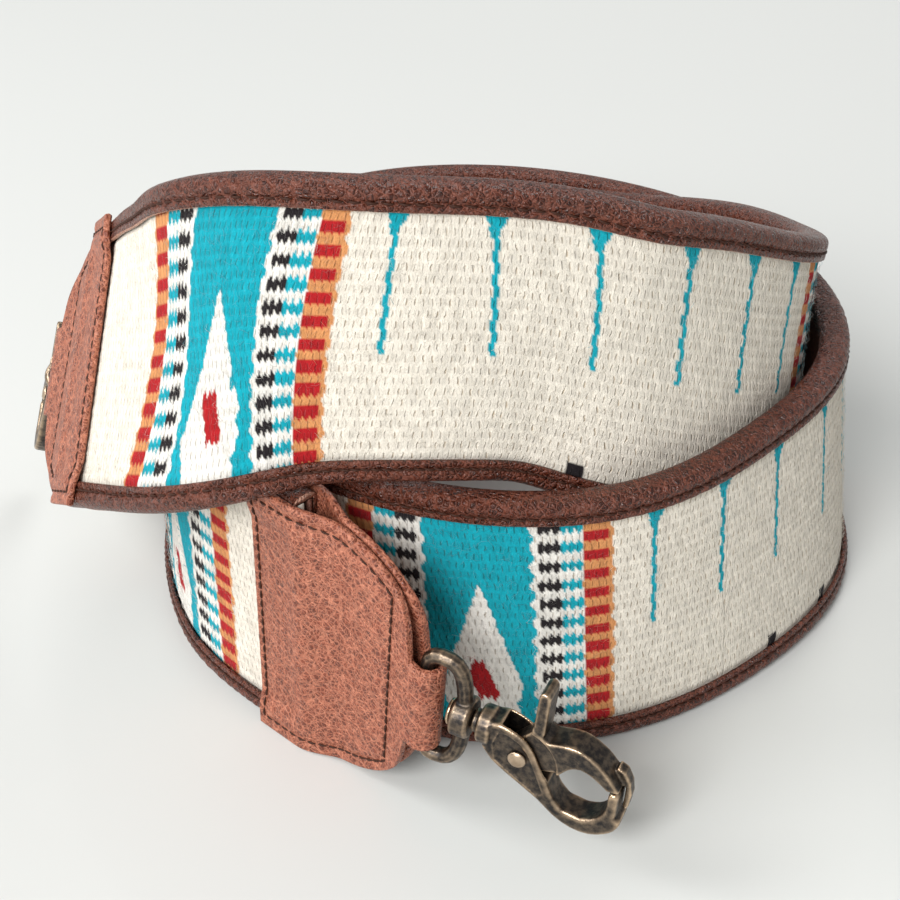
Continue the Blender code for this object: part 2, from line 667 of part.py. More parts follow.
def least_gap(route):
    """The least gap between turns that don't follow each other, less the wire."""
    dense = []
    for a, b in zip(route, route[1:]):
        dense += [a.lerp(b, k / 4) for k in range(4)]
    skip = SPRING_TURN_POINTS * 2
    return min((dense[i] - dense[j]).length for i in range(len(dense))
               for j in range(i + skip, len(dense))) - SPRING_WIRE


def make_spring(name):
    """The torsion spring: one unbroken wire wound round the rivet between the gate's ears."""
    curve = bpy.data.curves.new(name, "CURVE")
    curve.dimensions = "3D"
    curve.bevel_depth = SPRING_WIRE / 2
    curve.bevel_resolution = 1
    curve.use_fill_caps = True
    curve.render_resolution_u = 0
    route = spring_route()
    strand = curve.splines.new("POLY")
    strand.points.add(len(route) - 1)
    for point, spot in zip(strand.points, route):
        point.co = (*spot, 1)
    item = bpy.data.objects.new(name, curve)
    bpy.context.collection.objects.link(item)
    curve.materials.append(material(name, SPRING_STEEL))
    return item


def make_clasp(side, bar, ahead, upward, swing):
    """Ring, body, gate, rivet and spring of one end, hung on the bar in the tab's loop."""
    up = Vector(upward).normalized()
    forward = Matrix.Rotation(swing, 3, up) @ Vector(ahead)
    forward = (forward - forward.dot(up) * up).normalized()
    across = up.cross(forward)
    turn = Matrix((forward, across, up)).transposed().to_4x4()
    ring = make_ring(f"{side}_ring")
    body = make_clasp_body(f"{side}_clasp_body")
    gate = make_gate(f"{side}_clasp_gate")
    rivet = make_rivet(f"{side}_clasp_rivet")
    spring = make_spring(f"{side}_clasp_spring")
    ring.matrix_world = Matrix.Translation(Vector(bar)) @ turn
    body.parent = ring
    body.location = (RING_DEPTH, 0, 0)
    for piece in (gate, rivet, spring):
        piece.parent = body
        piece.location = (RIVET_X, 0, RIVET_Z)
    return ring, body, gate


def stand_on_ground():
    """Move the whole strap so that its origin is the middle of its footprint."""
    bpy.context.view_layer.update()
    view = bpy.context.evaluated_depsgraph_get()
    corners = []
    for item in bpy.data.objects:
        seen = item.evaluated_get(view)
        shape = seen.to_mesh()
        corners += [item.matrix_world @ vertex.co for vertex in shape.vertices]
        seen.to_mesh_clear()
    low = Vector([min(spot[i] for spot in corners) for i in range(3)])
    high = Vector([max(spot[i] for spot in corners) for i in range(3)])
    shift = Vector((-(low.x + high.x) / 2, -(low.y + high.y) / 2, -low.z))
    for item in bpy.data.objects:
        if item.parent is None:
            item.location += shift
    bpy.context.view_layer.update()
    return shift, high - low


def tell(label, spot):
    print(label, " ".join(f"{value:.5f}" for value in spot))


clear_scene()
band_path = BandPath()
make_band(band_path)
front_bar = make_tab("front_leather_tab", band_path, True, FRONT_TAB_DROOP)
rear_bar = make_tab("rear_leather_tab", band_path, False, REAR_TAB_DROOP)
clasps = {
    "front": make_clasp("front", *front_bar, FRONT_RING_SWING),
    "rear": make_clasp("rear", *rear_bar, REAR_RING_SWING),
}
move, extent = stand_on_ground()
tell("shift", move)
tell("size", extent)
print("band length", f"{band_path.length:.4f}")
for end, pieces in clasps.items():
    for piece in pieces:
        tell(f"{piece.name} origin", piece.matrix_world.translation)
    turned_frame = pieces[0].matrix_world.to_3x3()
    tell(f"{end} post direction", turned_frame.col[0])
    tell(f"{end} plate normal", turned_frame.col[1])
    tell(f"{end} bar direction", turned_frame.col[2])
print("least gap of a spring to itself", f"{least_gap(spring_route()):.6f}")
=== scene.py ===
# %% [markdown]
# # A woven bag strap, lying in a loose coil
#
# The real strap is a tapestry-woven wool band on a felt core, lined with leather, bound along both
# edges with a folded leather strip, and closed at each end by a folded leather tab. Each tab holds
# a D-shaped ring, and a trigger snap clasp swivels on that ring.
#
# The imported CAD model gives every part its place. This lesson loads it as a fixed frame, works out
# the same path for the band, and lays detailed surfaces on it.

# %% Load the frame
import json
from math import cos, pi, radians, sin

import bmesh
import bpy
import numpy as np
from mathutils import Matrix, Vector


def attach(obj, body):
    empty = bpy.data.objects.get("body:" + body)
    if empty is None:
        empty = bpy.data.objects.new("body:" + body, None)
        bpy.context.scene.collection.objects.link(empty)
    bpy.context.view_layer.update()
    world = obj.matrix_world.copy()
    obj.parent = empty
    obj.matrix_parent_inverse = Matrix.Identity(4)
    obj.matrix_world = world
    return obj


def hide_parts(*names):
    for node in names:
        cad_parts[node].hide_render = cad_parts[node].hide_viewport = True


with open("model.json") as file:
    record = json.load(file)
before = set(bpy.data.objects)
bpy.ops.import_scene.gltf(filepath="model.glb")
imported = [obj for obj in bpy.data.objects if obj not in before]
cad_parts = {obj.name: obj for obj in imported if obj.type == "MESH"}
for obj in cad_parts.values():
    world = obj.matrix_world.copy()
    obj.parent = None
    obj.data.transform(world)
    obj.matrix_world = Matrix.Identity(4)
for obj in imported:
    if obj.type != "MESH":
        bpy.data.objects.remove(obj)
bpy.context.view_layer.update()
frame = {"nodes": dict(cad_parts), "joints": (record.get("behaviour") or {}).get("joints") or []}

for leftover in ("Cube", "Light", "Camera"):
    if leftover in bpy.data.objects:
        bpy.data.objects.remove(bpy.data.objects[leftover])
joints = {joint["name"]: joint for joint in frame["joints"]}

# %% [markdown]
# ## The path of the band
#
# The strap is a flat ribbon that runs twice round a coil, climbs over its own turns and comes down
# at the front. One could draw it as a Bezier curve, but a table of stations in polar coordinates is
# easier to read: each row says where the ribbon is, how high its lower edge lies and how far it
# leans. A natural cubic spline joins the stations.

# %% Stations and the spline through them
STRAP_WIDTH = 0.0635
HALF_WIDTH = STRAP_WIDTH / 2
COIL_RADIUS = 0.085
TURN_PITCH = 0.0072
PROBE = 0.0005
# Angle seen from above, radius share, lift share, lean in degrees, turns inside the outer one
STATIONS = np.array((
    (243.2, 1.05, 0, 0, 0), (235.5, 1.0185, 0.0025, 0, 0), (227.5, 1.003, 0.004, 0, 0),
    (217, 0.986, 0.0035, 0, 0), (205, 0.955, 0.0015, 0, 0), (190, 0.93, 0, 0, 0),
    (165, 0.92, 0, 0, 0), (138, 0.925, 0, 0, 0), (110, 0.925, 0, 0, 0), (80, 0.885, 0, 0, 0),
    (55, 0.87, 0, 0, 0), (30, 0.905, 0, -3, 0),
    (5, 0.945, 0, -6, 0), (-18, 0.95, 0, -6, 0), (-45, 0.92, 0, -4, 0), (-72, 0.948, 0, 0, 0),
    (-95, 0.935, 0, 0, 0), (-125, 0.897, 0, 0, -0.15), (-155, 0.88, 0, 0, -0.3),
    (-185, 0.866, 0, 0, -0.5), (-215, 0.848, 0, 0, -0.7), (-250, 0.81, 0, 0, -0.9),
    (-282, 0.834, 0.005, 0, -1), (-310, 0.859, 0.04, 0, -1), (-340, 0.874, 0.18, 0, -1),
    (-365, 0.894, 0.31, 0, -1), (-385, 0.899, 0.46, 0, -1), (-405, 0.894, 0.635, 0, -1),
    (-421, 0.909, 0.785, 1, -1), (-434, 0.93, 0.9, 3, -1), (-443, 0.92, 0.967, 3, -0.8),
    (-453, 0.914, 1.018, 1, -0.35), (-466, 0.947, 1.045, -1, 0), (-477, 0.998, 1.035, -4, 0),
    (-484, 1.03, 1.0, -8, 0), (-491, 1.057, 0.928, -12, 0), (-502, 1.07, 0.775, -16.5, 0),
    (-510, 1.076, 0.67, -19, 0), (-516.8, 1.086, 0.575, -20.5, 0), (-522.7, 1.102, 0.485, -21, 0),
))


def spline(stations):
    """Natural cubic spline by chord length: knots, the length at each knot, and second slopes."""
    angle, radius, lift, lean, turn = stations.T
    out = COIL_RADIUS * radius + turn * TURN_PITCH
    knots = np.column_stack((out * np.cos(np.radians(angle)), out * np.sin(np.radians(angle)),
                             HALF_WIDTH + STRAP_WIDTH * lift, np.radians(lean)))
    steps = np.linalg.norm(np.diff(knots[:, :3], axis=0), axis=1)
    slopes = np.diff(knots, axis=0) / steps[:, None]
    system = np.eye(len(knots))
    inner = np.arange(1, len(knots) - 1)
    system[inner, inner - 1] = steps[:-1]
    system[inner, inner] = 2 * (steps[:-1] + steps[1:])
    system[inner, inner + 1] = steps[1:]
    wanted = np.zeros_like(knots)
    wanted[1:-1] = 6 * np.diff(slopes, axis=0)
    return knots, np.append(0.0, np.cumsum(steps)), np.linalg.solve(system, wanted)


KNOTS, MARKS, BENDS = spline(STATIONS)
BAND_LENGTH = MARKS[-1]
print("band length", round(BAND_LENGTH, 4))


# %% Points and directions along the band
def band_spots(places):
    """Each place's point and lean: the cubic between its two knots."""
    places = np.clip(places, 0, BAND_LENGTH)
    i = np.clip(np.searchsorted(MARKS, places, side="right") - 1, 0, len(MARKS) - 2)
    after, before = (MARKS[i + 1] - places)[:, None], (places - MARKS[i])[:, None]
    step = after + before
    return ((BENDS[i] * after**3 + BENDS[i + 1] * before**3) / (6 * step)
            + (KNOTS[i] / step - BENDS[i] * step / 6) * after
            + (KNOTS[i + 1] / step - BENDS[i + 1] * step / 6) * before)


def unit(vectors):
    """Each vector divided by its length."""
    return vectors / np.linalg.norm(vectors, axis=-1, keepdims=True)


def band_frames(places):
    """Point, travel, width and outward directions: travel is the tangent, width leans out of the
    vertical in the plane across the travel, and outward is their cross product."""
    spots = band_spots(places)
    travel = unit(band_spots(places + PROBE)[:, :3] - band_spots(places - PROBE)[:, :3])
    flat = unit(np.column_stack((-travel[:, 1], travel[:, 0], np.zeros(len(places)))))
    lean = spots[:, 3:4]
    width = np.cos(lean) * (0, 0, 1) + np.sin(lean) * flat
    width = unit(width - (width * travel).sum(1, keepdims=True) * travel)
    return spots[:, :3], travel, width, np.cross(width, travel)


# %% [markdown]
# ## The spine of each tab
#
# A tab grips the last 12 mm of the band and runs on to the bar of its ring. Its outer end droops a
# little in the front tab, as leather does under the clasp's weight. The same steps as in the CAD
# give the bar's place, and the joint of the ring says where that place lies in the frame: the
# difference is the shift from the coil's own coordinates to the frame's.

# %% Tab spines and the shift to the frame
TAB_GRIP = 0.012
TAB_LENGTH = 0.0455
TAB_STEPS = 16
FRONT_DROOP = radians(4.5)
SHOULDER_START, SHOULDER_END, SHOULDER_POWER = 0.007, TAB_LENGTH - 0.003, 2.6
LOOP_HALF_WIDTH = 0.0106


def eased(reach, start, end):
    """t^2 (3 - 2 t), where t runs from 0 to 1 between two reaches."""
    t = np.clip((reach - start) / (end - start), 0, 1)
    return t * t * (3 - 2 * t)


def tab_spine(at_start, droop):
    """Reach, point, heading, width and outward directions from the leaf's edge to the bar."""
    reach = np.linspace(0, TAB_GRIP, 3)
    places = TAB_GRIP - reach if at_start else BAND_LENGTH - TAB_GRIP + reach
    spot, travel, width, out = band_frames(places)
    ahead = -travel if at_start else travel
    free = np.linspace(TAB_GRIP, TAB_LENGTH, TAB_STEPS)
    angle = droop * eased(free[1:], TAB_GRIP, TAB_LENGTH)[:, None]
    forward = np.cos(angle) * ahead[-1] - np.sin(angle) * width[-1]
    upward = np.cos(angle) * width[-1] + np.sin(angle) * ahead[-1]
    here = spot[-1] + np.cumsum((free[1] - free[0]) * forward, axis=0)
    away = np.repeat(out[-1:], len(here), axis=0)
    return (np.append(reach, free[1:]), np.vstack((spot, here)), np.vstack((ahead, forward)),
            np.vstack((width, upward)), np.vstack((out, away)))


TAB_SPINES = {"front": tab_spine(True, FRONT_DROOP), "rear": tab_spine(False, 0.0)}
SHIFT = np.array(joints["front_ring_swing"]["pos_m"]) - TAB_SPINES["front"][1][-1]
print("shift", SHIFT.round(5))


# %% [markdown]
# ## A surface from a grid of points
#
# Nearly every piece here is a function of two parameters, worked out as one numpy array of rows and
# columns. This helper turns such a grid into a mesh. A grid can close round its columns, as a tube
# does, and the two open ends then get a cap. The UV map keeps the real distances in metres, so a
# material can lay a weave or a stitch along the piece.

# %% Grid to mesh
def into_scene(name, data):
    """A new object with this mesh, lamp or camera, linked to the scene."""
    item = bpy.data.objects.new(name, data)
    bpy.context.scene.collection.objects.link(item)
    return item


def corners_of_quads(index):
    """The four point numbers of each quad between neighbouring rows and columns."""
    return np.stack((index[:-1, :-1], index[:-1, 1:], index[1:, 1:], index[1:, :-1]), -1).reshape(-1, 4)


def surface(name, grid, place=None, around=False, caps=False):
    """Quads between neighbouring rows and columns; with around, the last column joins the first."""
    rows, columns = grid.shape[:2]
    index = np.arange(rows * columns).reshape(rows, columns)
    if around:
        index = np.hstack((index, index[:, :1]))
    quads = corners_of_quads(index)
    corners = [quads.ravel()]
    starts = np.arange(len(quads)) * 4
    if caps:
        corners += [index[0, :columns][::-1], index[-1, :columns]]
        starts = np.append(starts, [quads.size, quads.size + columns])
    corners = np.concatenate(corners).astype(np.int32)
    mesh = bpy.data.meshes.new(name)
    mesh.vertices.add(rows * columns)
    mesh.vertices.foreach_set("co", grid.astype(np.float32).ravel())
    mesh.loops.add(len(corners))
    mesh.loops.foreach_set("vertex_index", corners)
    mesh.polygons.add(len(starts))
    mesh.polygons.foreach_set("loop_start", starts.astype(np.int32))
    mesh.update(calc_edges=True)
    mesh.shade_smooth()
    if place is not None:
        wide = index.shape[1]
        spots = np.arange(rows * wide).reshape(rows, wide)
        flat = place.reshape(-1, 2)[corners_of_quads(spots).ravel()]
        if caps:
            flat = np.vstack((flat, np.zeros((2 * columns, 2))))
        mesh.uv_layers.new(name="place").data.foreach_set("uv", flat.astype(np.float32).ravel())
    return into_scene(name, mesh)


def hang(item, body, slot, material, *nodes):
    """Give the piece its finish, hide the CAD nodes it stands for, and let it ride on its body."""
    item.data.materials.clear()
    item.data.materials.append(material)
    if nodes:
        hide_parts(*nodes)
    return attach(item, body)


def in_frame(points):
    """From the coil's own coordinates to the frame's."""
    return points + SHIFT


# %% [markdown]
# ## Shared effects for the finishes
#
# The leather's grain returns in three materials, so it is a node group, built once, that gives out
# masks and a height. The colours, the roughness and the shader stay in each material. Some short
# helpers make the node trees easier to read.

# %% Small helpers for node trees
def node(tree, kind, **values):
    """A new node, with its settings given by name."""
    made = tree.nodes.new(kind)
    for name, value in values.items():
        setattr(made, name, value)
    return made


def math_node(tree, operation, first, second=None, clamp=False):
    """One Math node; each input is a number or another node's output."""
    made = node(tree, "ShaderNodeMath", operation=operation, use_clamp=clamp)
    for socket, value in zip(made.inputs, (first, second)):
        if value is None:
            continue
        if isinstance(value, (int, float)):
            socket.default_value = value
        else:
            tree.links.new(value, socket)
    return made.outputs[0]


def noise(tree, place, scale, detail=3.0, roughness=0.55, distortion=0.0):
    """Noise between 0 and 1; scale is roughly its number of waves in a metre."""
    made = node(tree, "ShaderNodeTexNoise")
    made.inputs["Scale"].default_value = scale
    made.inputs["Detail"].default_value = detail
    made.inputs["Roughness"].default_value = roughness
    made.inputs["Distortion"].default_value = distortion
    tree.links.new(place, made.inputs["Vector"])
    return made.outputs["Fac"]


def cell_edges(tree, place, scale):
    """How far a point lies from the nearest border between cells."""
    made = node(tree, "ShaderNodeTexVoronoi", feature="DISTANCE_TO_EDGE")
    if isinstance(scale, (int, float)):
        made.inputs["Scale"].default_value = scale
    else:
        tree.links.new(scale, made.inputs["Scale"])
    tree.links.new(place, made.inputs["Vector"])
    return made.outputs["Distance"]


def wandering(tree, place, scale, reach):
    """The place, moved a little by a noise, so that straight patterns wander."""
    wander = node(tree, "ShaderNodeTexNoise")
    wander.inputs["Scale"].default_value = scale
    tree.links.new(place, wander.inputs["Vector"])
    small = node(tree, "ShaderNodeVectorMath", operation="SCALE")
    small.inputs["Scale"].default_value = reach
    tree.links.new(wander.outputs["Color"], small.inputs[0])
    moved = node(tree, "ShaderNodeVectorMath", operation="ADD")
    tree.links.new(place, moved.inputs[0])
    tree.links.new(small.outputs[0], moved.inputs[1])
    return moved.outputs[0]


def scaled(tree, colour, share):
    """A colour made darker or lighter by a share that changes over the surface."""
    made = node(tree, "ShaderNodeVectorMath", operation="SCALE")
    tree.links.new(colour, made.inputs[0])
    tree.links.new(share, made.inputs["Scale"])
    return made.outputs[0]


def sum_of(tree, *terms):
    """Each term is a value and its weight."""
    total = None
    for value, weight in terms:
        part = math_node(tree, "MULTIPLY", value, weight)
        total = part if total is None else math_node(tree, "ADD", total, part)
    return total


def ramp(tree, value, low, high):
    """0 below low, 1 above high, and a smooth run between."""
    made = node(tree, "ShaderNodeMapRange", interpolation_type="SMOOTHSTEP")
    made.inputs["From Min"].default_value = low
    made.inputs["From Max"].default_value = high
    tree.links.new(value, made.inputs["Value"])
    return made.outputs["Result"]


def mix(tree, share, first, second):
    """A colour between two: each is a tuple or another node's output."""
    made = node(tree, "ShaderNodeMix", data_type="RGBA")
    for socket, value in ((made.inputs[0], share), (made.inputs[6], first), (made.inputs[7], second)):
        if isinstance(value, tuple):
            socket.default_value = (*value, 1)
        elif isinstance(value, (int, float)):
            socket.default_value = value
        else:
            tree.links.new(value, socket)
    return made.outputs[2]


def stretched(tree, place, scale, turn=(0, 0, 0)):
    """The place, scaled along each axis and then turned."""
    made = node(tree, "ShaderNodeMapping")
    made.inputs["Scale"].default_value = scale
    made.inputs["Rotation"].default_value = turn
    tree.links.new(place, made.inputs["Vector"])
    return made.outputs["Vector"]


def new_material(name):
    """A material with its node tree and its shader."""
    made = bpy.data.materials.new(name)
    made.use_nodes = True
    return made, made.node_tree, made.node_tree.nodes["Principled BSDF"]


def relief(tree, shader, height, distance):
    """A Bump node: a height of 1 raises the surface by the distance."""
    bump = node(tree, "ShaderNodeBump")
    bump.inputs["Strength"].default_value = 1.0
    bump.inputs["Distance"].default_value = distance
    tree.links.new(height, bump.inputs["Height"])
    tree.links.new(bump.outputs["Normal"], shader.inputs["Normal"])


def object_place(tree):
    """The place in the frame, in metres."""
    return node(tree, "ShaderNodeTexCoord").outputs["Object"]


def group(name, inputs, outputs):
    """An empty node group with float or vector inputs and float outputs."""
    made = bpy.data.node_groups.new(name, "ShaderNodeTree")
    for label, kind, value in inputs:
        socket = made.interface.new_socket(label, in_out="INPUT", socket_type=kind)
        if value is not None:
            socket.default_value = value
    for label in outputs:
        made.interface.new_socket(label, in_out="OUTPUT", socket_type="NodeSocketFloat")
    return made, node(made, "NodeGroupInput"), node(made, "NodeGroupOutput")


def opposite(tree, value):
    """1 minus the value."""
    return math_node(tree, "SUBTRACT", 1.0, value)


def from_middle(tree, value, middle=0.5):
    """How far the value lies from its middle, above or below."""
    return math_node(tree, "ABSOLUTE", math_node(tree, "SUBTRACT", value, middle))


def use_group(tree, made, **values):
    """The group placed in a material; each input is a number or another node's output."""
    placed = node(tree, "ShaderNodeGroup", node_tree=made)
    for label, value in values.items():
        socket = placed.inputs[label]
        if isinstance(value, (int, float)):
            socket.default_value = value
        else:
            tree.links.new(value, socket)
    return placed


# %% Leather grain: pebbles, creases and folds
# Turn in degrees and scale across the crease; along it and through the leather they share theirs
CREASE_FAMILIES = ((46, 900), (-18, 620))
CREASE_ALONG, CREASE_THROUGH = 150, 130


def make_grain_group():
    """Pebbles from cell borders, two families of long creases from stretched noise, and slow folds.
    A crease is where the noise passes through its middle value."""
    made, given, result = group(
        "leather_grain", (("Place", "NodeSocketVector", None), ("Pebbles", "NodeSocketFloat", 1200.0)),
        ("Height", "Crease", "Line", "Patches"))
    place = wandering(made, given.outputs["Place"], 700, 0.0007)
    edges = cell_edges(made, place, given.outputs["Pebbles"])
    pebble = ramp(made, edges, 0.0, 0.3)
    wide_cells = math_node(made, "MULTIPLY", given.outputs["Pebbles"], 0.43)
    wide_edges = cell_edges(made, place, wide_cells)
    narrow_cracks, wide_cracks = ramp(made, edges, 0.02, 0.13), ramp(made, wide_edges, 0.02, 0.1)
    cracks = math_node(made, "MINIMUM", narrow_cracks, wide_cracks)
    families = []
    for turn, across in CREASE_FAMILIES:
        turned = stretched(made, place, (1, 1, 1), (0, radians(turn), 0))
        laid = stretched(made, turned, (across, CREASE_ALONG, CREASE_THROUGH))
        middle = from_middle(made, noise(made, laid, 1.0, 2))
        families.append(opposite(made, ramp(made, middle, 0.0, 0.045)))
    line = sum_of(made, (families[0], 0.75), (families[1], 0.4))
    fine = noise(made, place, 3600, 3)
    fold = noise(made, place, 260, 3, 0.6, 0.6)
    height = sum_of(made, (pebble, 0.7), (line, -0.4), (fine, 0.3), (fold, 0.9))
    made.links.new(height, result.inputs["Height"])
    made.links.new(opposite(made, cracks), result.inputs["Crease"])
    made.links.new(line, result.inputs["Line"])
    patches = ramp(made, noise(made, given.outputs["Place"], 520, 6, 0.75), 0.36, 0.64)
    made.links.new(patches, result.inputs["Patches"])
    return made


GRAIN = make_grain_group()


# %% [markdown]
# ## Leather
#
# The chestnut leather is waxed and a little glossy. On the tabs its creases are painted pale as a
# highlight, and they cross the leaf in long slanted lines. The bindings are darker and glossier, with
# a fainter painted highlight in their creases, and wrinkles run across the roll where the leather
# turns over the edge. The bindings' cut edge along the wool is pale, undyed leather. The lining is
# lighter and matt, with painted shade in its fine creases. One function makes what all three share,
# and each adds its own depth of relief.

# %% Leather materials
def make_leather(name, dark, light, crease, painted_crease_share, pebbles, roughness):
    """Two browns in patches, with the creases' painted light and shade laid over them by its share."""
    made, tree, shader = new_material(name)
    grain = use_group(tree, GRAIN, Place=object_place(tree), Pebbles=pebbles)
    base = mix(tree, grain.outputs["Patches"], dark, light)
    lines = sum_of(tree, (grain.outputs["Crease"], 0.75), (grain.outputs["Line"], 0.75))
    # Painted light and shade: the crease colour is laid over the creases, pale as a highlight, dark as
    # shade
    colour = mix(tree, math_node(tree, "MULTIPLY", lines, painted_crease_share, clamp=True), base, crease)
    crease_part, patch_part = (grain.outputs["Crease"], 0.15), (grain.outputs["Patches"], 0.06)
    tree.links.new(sum_of(tree, crease_part, patch_part, (roughness, 1.0)), shader.inputs["Roughness"])
    shader.inputs["Specular IOR Level"].default_value = 0.45
    return made, tree, shader, grain.outputs["Height"], colour


def finish_leather(made, tree, shader, height, colour, depth):
    """Join the colour and the relief to the shader."""
    tree.links.new(colour, shader.inputs["Base Color"])
    relief(tree, shader, height, depth)
    return made


CUT_EDGE = 0.00085
CUT_LEATHER = (0.52, 0.27, 0.19)


def make_binding_leather():
    """The shared leather, with wrinkles across the roll and the pale cut edge."""
    # The pale crease colour is a painted highlight on the binding's pebbles
    made, tree, shader, height, colour = make_leather(
        "binding_leather", dark=(0.028, 0.006, 0.003), light=(0.08, 0.016, 0.007),
        crease=(0.42, 0.135, 0.078), painted_crease_share=0.25, pebbles=800.0, roughness=0.2)
    place = node(tree, "ShaderNodeUVMap", uv_map="place").outputs["UV"]
    wrinkles = noise(tree, stretched(tree, place, (620, 90, 1)), 1.0, 4, 0.6)
    apart = node(tree, "ShaderNodeSeparateXYZ")
    tree.links.new(place, apart.inputs[0])
    cut_edge = math_node(tree, "LESS_THAN", apart.outputs["Y"], CUT_EDGE)
    colour = mix(tree, cut_edge, colour, CUT_LEATHER)
    height = sum_of(tree, (height, 1.0), (wrinkles, 1.5))
    return finish_leather(made, tree, shader, height, colour, depth=0.00045)


binding_leather = make_binding_leather()
# The tabs' pale crease colour is a painted highlight
tab_leather = finish_leather(*make_leather(
    "tab_leather", dark=(0.1, 0.022, 0.01), light=(0.21, 0.048, 0.022), crease=(0.62, 0.235, 0.14),
    painted_crease_share=0.56, pebbles=950.0, roughness=0.34), depth=0.0002)
# The lining's dark crease colour is painted shade
lining_leather = finish_leather(*make_leather(
    "lining_leather", dark=(0.14, 0.05, 0.032), light=(0.22, 0.085, 0.055), crease=(0.09, 0.035, 0.022),
    painted_crease_share=0.6, pebbles=1900.0, roughness=0.45), depth=0.00016)


# %% [markdown]
# ## Waxed thread, felt and the wool
#
# The thread is a twisted cord, darker than the leather that it holds. The felt hardly shows, so
# noise on its colour and height is enough. The wool takes its colour from the weave itself, which
# the next cells work out tuft by tuft, with painted shade in the hollows between the ovals. Its
# material adds fibres that run across the band with the yarn, a painted highlight along them, a few
# strands with painted sheen, and painted shade in the small gap where two tufts of one rib meet.

# %% Thread and felt materials
def make_thread():
    """Noise as the twist, on the colour, the roughness and the relief."""
    made, tree, shader = new_material("waxed_thread")
    twist = noise(tree, object_place(tree), 3200, 2)
    colour = mix(tree, twist, (0.02, 0.008, 0.005), (0.07, 0.025, 0.014))
    tree.links.new(colour, shader.inputs["Base Color"])
    tree.links.new(sum_of(tree, (twist, 0.2), (0.45, 1.0)), shader.inputs["Roughness"])
    shader.inputs["Specular IOR Level"].default_value = 0.2
    relief(tree, shader, twist, 0.0001)
    return made


def make_felt():
    """Noise as the matted hair, on the colour, the roughness and the relief."""
    made, tree, shader = new_material("grey_felt")
    fuzz = noise(tree, object_place(tree), 1500, 5, 0.7)
    tree.links.new(mix(tree, fuzz, (0.3, 0.27, 0.22), (0.5, 0.46, 0.4)), shader.inputs["Base Color"])
    tree.links.new(sum_of(tree, (fuzz, 0.1), (0.85, 1.0)), shader.inputs["Roughness"])
    relief(tree, shader, fuzz, 0.0003)
    return made


waxed_thread = make_thread()
grey_felt = make_felt()


# %% Gaps between the tufts
PICK = 0.00147
RIB = 0.0024


def make_gap_group():
    """Where two tufts of one rib meet, a mask for a groove and for painted shade: near half a pick
    from a tuft's middle, and near the middle of the rib. Odd ribs are half a pick ahead."""
    made, given, result = group("tuft_gaps", (("Place", "NodeSocketVector", None),), ("Gap",))
    apart = node(made, "ShaderNodeSeparateXYZ")
    made.links.new(given.outputs["Place"], apart.inputs[0])
    ribs = math_node(made, "MULTIPLY", apart.outputs["Y"], 1 / RIB)
    rib = math_node(made, "FLOOR", ribs)
    pair = math_node(made, "FLOOR", math_node(made, "MULTIPLY", rib, 0.5))
    picks = sum_of(made, (apart.outputs["X"], 1 / PICK), (rib, -0.5), (pair, 1.0))
    whole = math_node(made, "ROUND", picks)
    beside = from_middle(made, picks, whole)
    above = from_middle(made, math_node(made, "SUBTRACT", ribs, rib))
    meeting = ramp(made, beside, 0.36, 0.5)
    middle = opposite(made, ramp(made, above, 0.2, 0.42))
    made.links.new(math_node(made, "MULTIPLY", meeting, middle), result.inputs["Gap"])
    return made


GAPS = make_gap_group()


# %% Wool material
# Painted sheen: a pale colour mixed into a few strands of the wool
PALE_STRAND_SHEEN = (0.86, 0.82, 0.74)
# Painted shade in the gaps between tufts
GAP_SHADE = (0.54, 0.45, 0.34)


def make_wool():
    """The dye: painted highlight on fibres, random tone, painted sheen strands, painted gap shade."""
    made, tree, shader = new_material("weft_wool")
    place = node(tree, "ShaderNodeUVMap", uv_map="place").outputs["UV"]
    # The stored colour: the dye, with painted shade in the weave's hollows
    dye = node(tree, "ShaderNodeAttribute", attribute_name="dye").outputs["Color"]
    yarn = wandering(tree, place, 420, 0.0009)
    gap = use_group(tree, GAPS, Place=yarn).outputs["Gap"]
    fibres = noise(tree, stretched(tree, yarn, (3600, 800, 1)), 1.0, 4, 0.65)
    tufts = noise(tree, stretched(tree, yarn, (900, 420, 1)), 1.0, 3)
    felted = noise(tree, yarn, 2600, 4, 0.7)
    # Painted highlight: the dye is made lighter along the fibres; tufts and felting add random tone
    light = sum_of(tree, (fibres, 0.5), (tufts, 0.3), (felted, 0.3), (0.45, 1.0))
    # Painted sheen: a pale colour laid on the strands where the felted noise is high
    sheen_strand = ramp(tree, felted, 0.6, 0.78)
    sheen_strand_share = math_node(tree, "MULTIPLY", sheen_strand, 0.12)
    colour = mix(tree, sheen_strand_share, scaled(tree, dye, light), PALE_STRAND_SHEEN)
    # Painted shade: the gaps between tufts are darkened, more where the tufts noise is high
    painted_gap_shade = math_node(tree, "MULTIPLY", gap, ramp(tree, tufts, 0.34, 0.72))
    darkened = node(tree, "ShaderNodeVectorMath", operation="MULTIPLY")
    tree.links.new(colour, darkened.inputs[0])
    tree.links.new(mix(tree, painted_gap_shade, (1, 1, 1), GAP_SHADE), darkened.inputs[1])
    tree.links.new(darkened.outputs[0], shader.inputs["Base Color"])
    tree.links.new(sum_of(tree, (fibres, 0.12), (0.84, 1.0)), shader.inputs["Roughness"])
    shader.inputs["Specular IOR Level"].default_value = 0.15
    shader.inputs["Sheen Weight"].default_value = 0.05
    shader.inputs["Sheen Roughness"].default_value = 0.5
    height = sum_of(tree, (fibres, 1.0), (felted, 0.8), (tufts, 0.8), (gap, -0.9))
    relief(tree, shader, height, 0.0003)
    return made


weft_wool = make_wool()


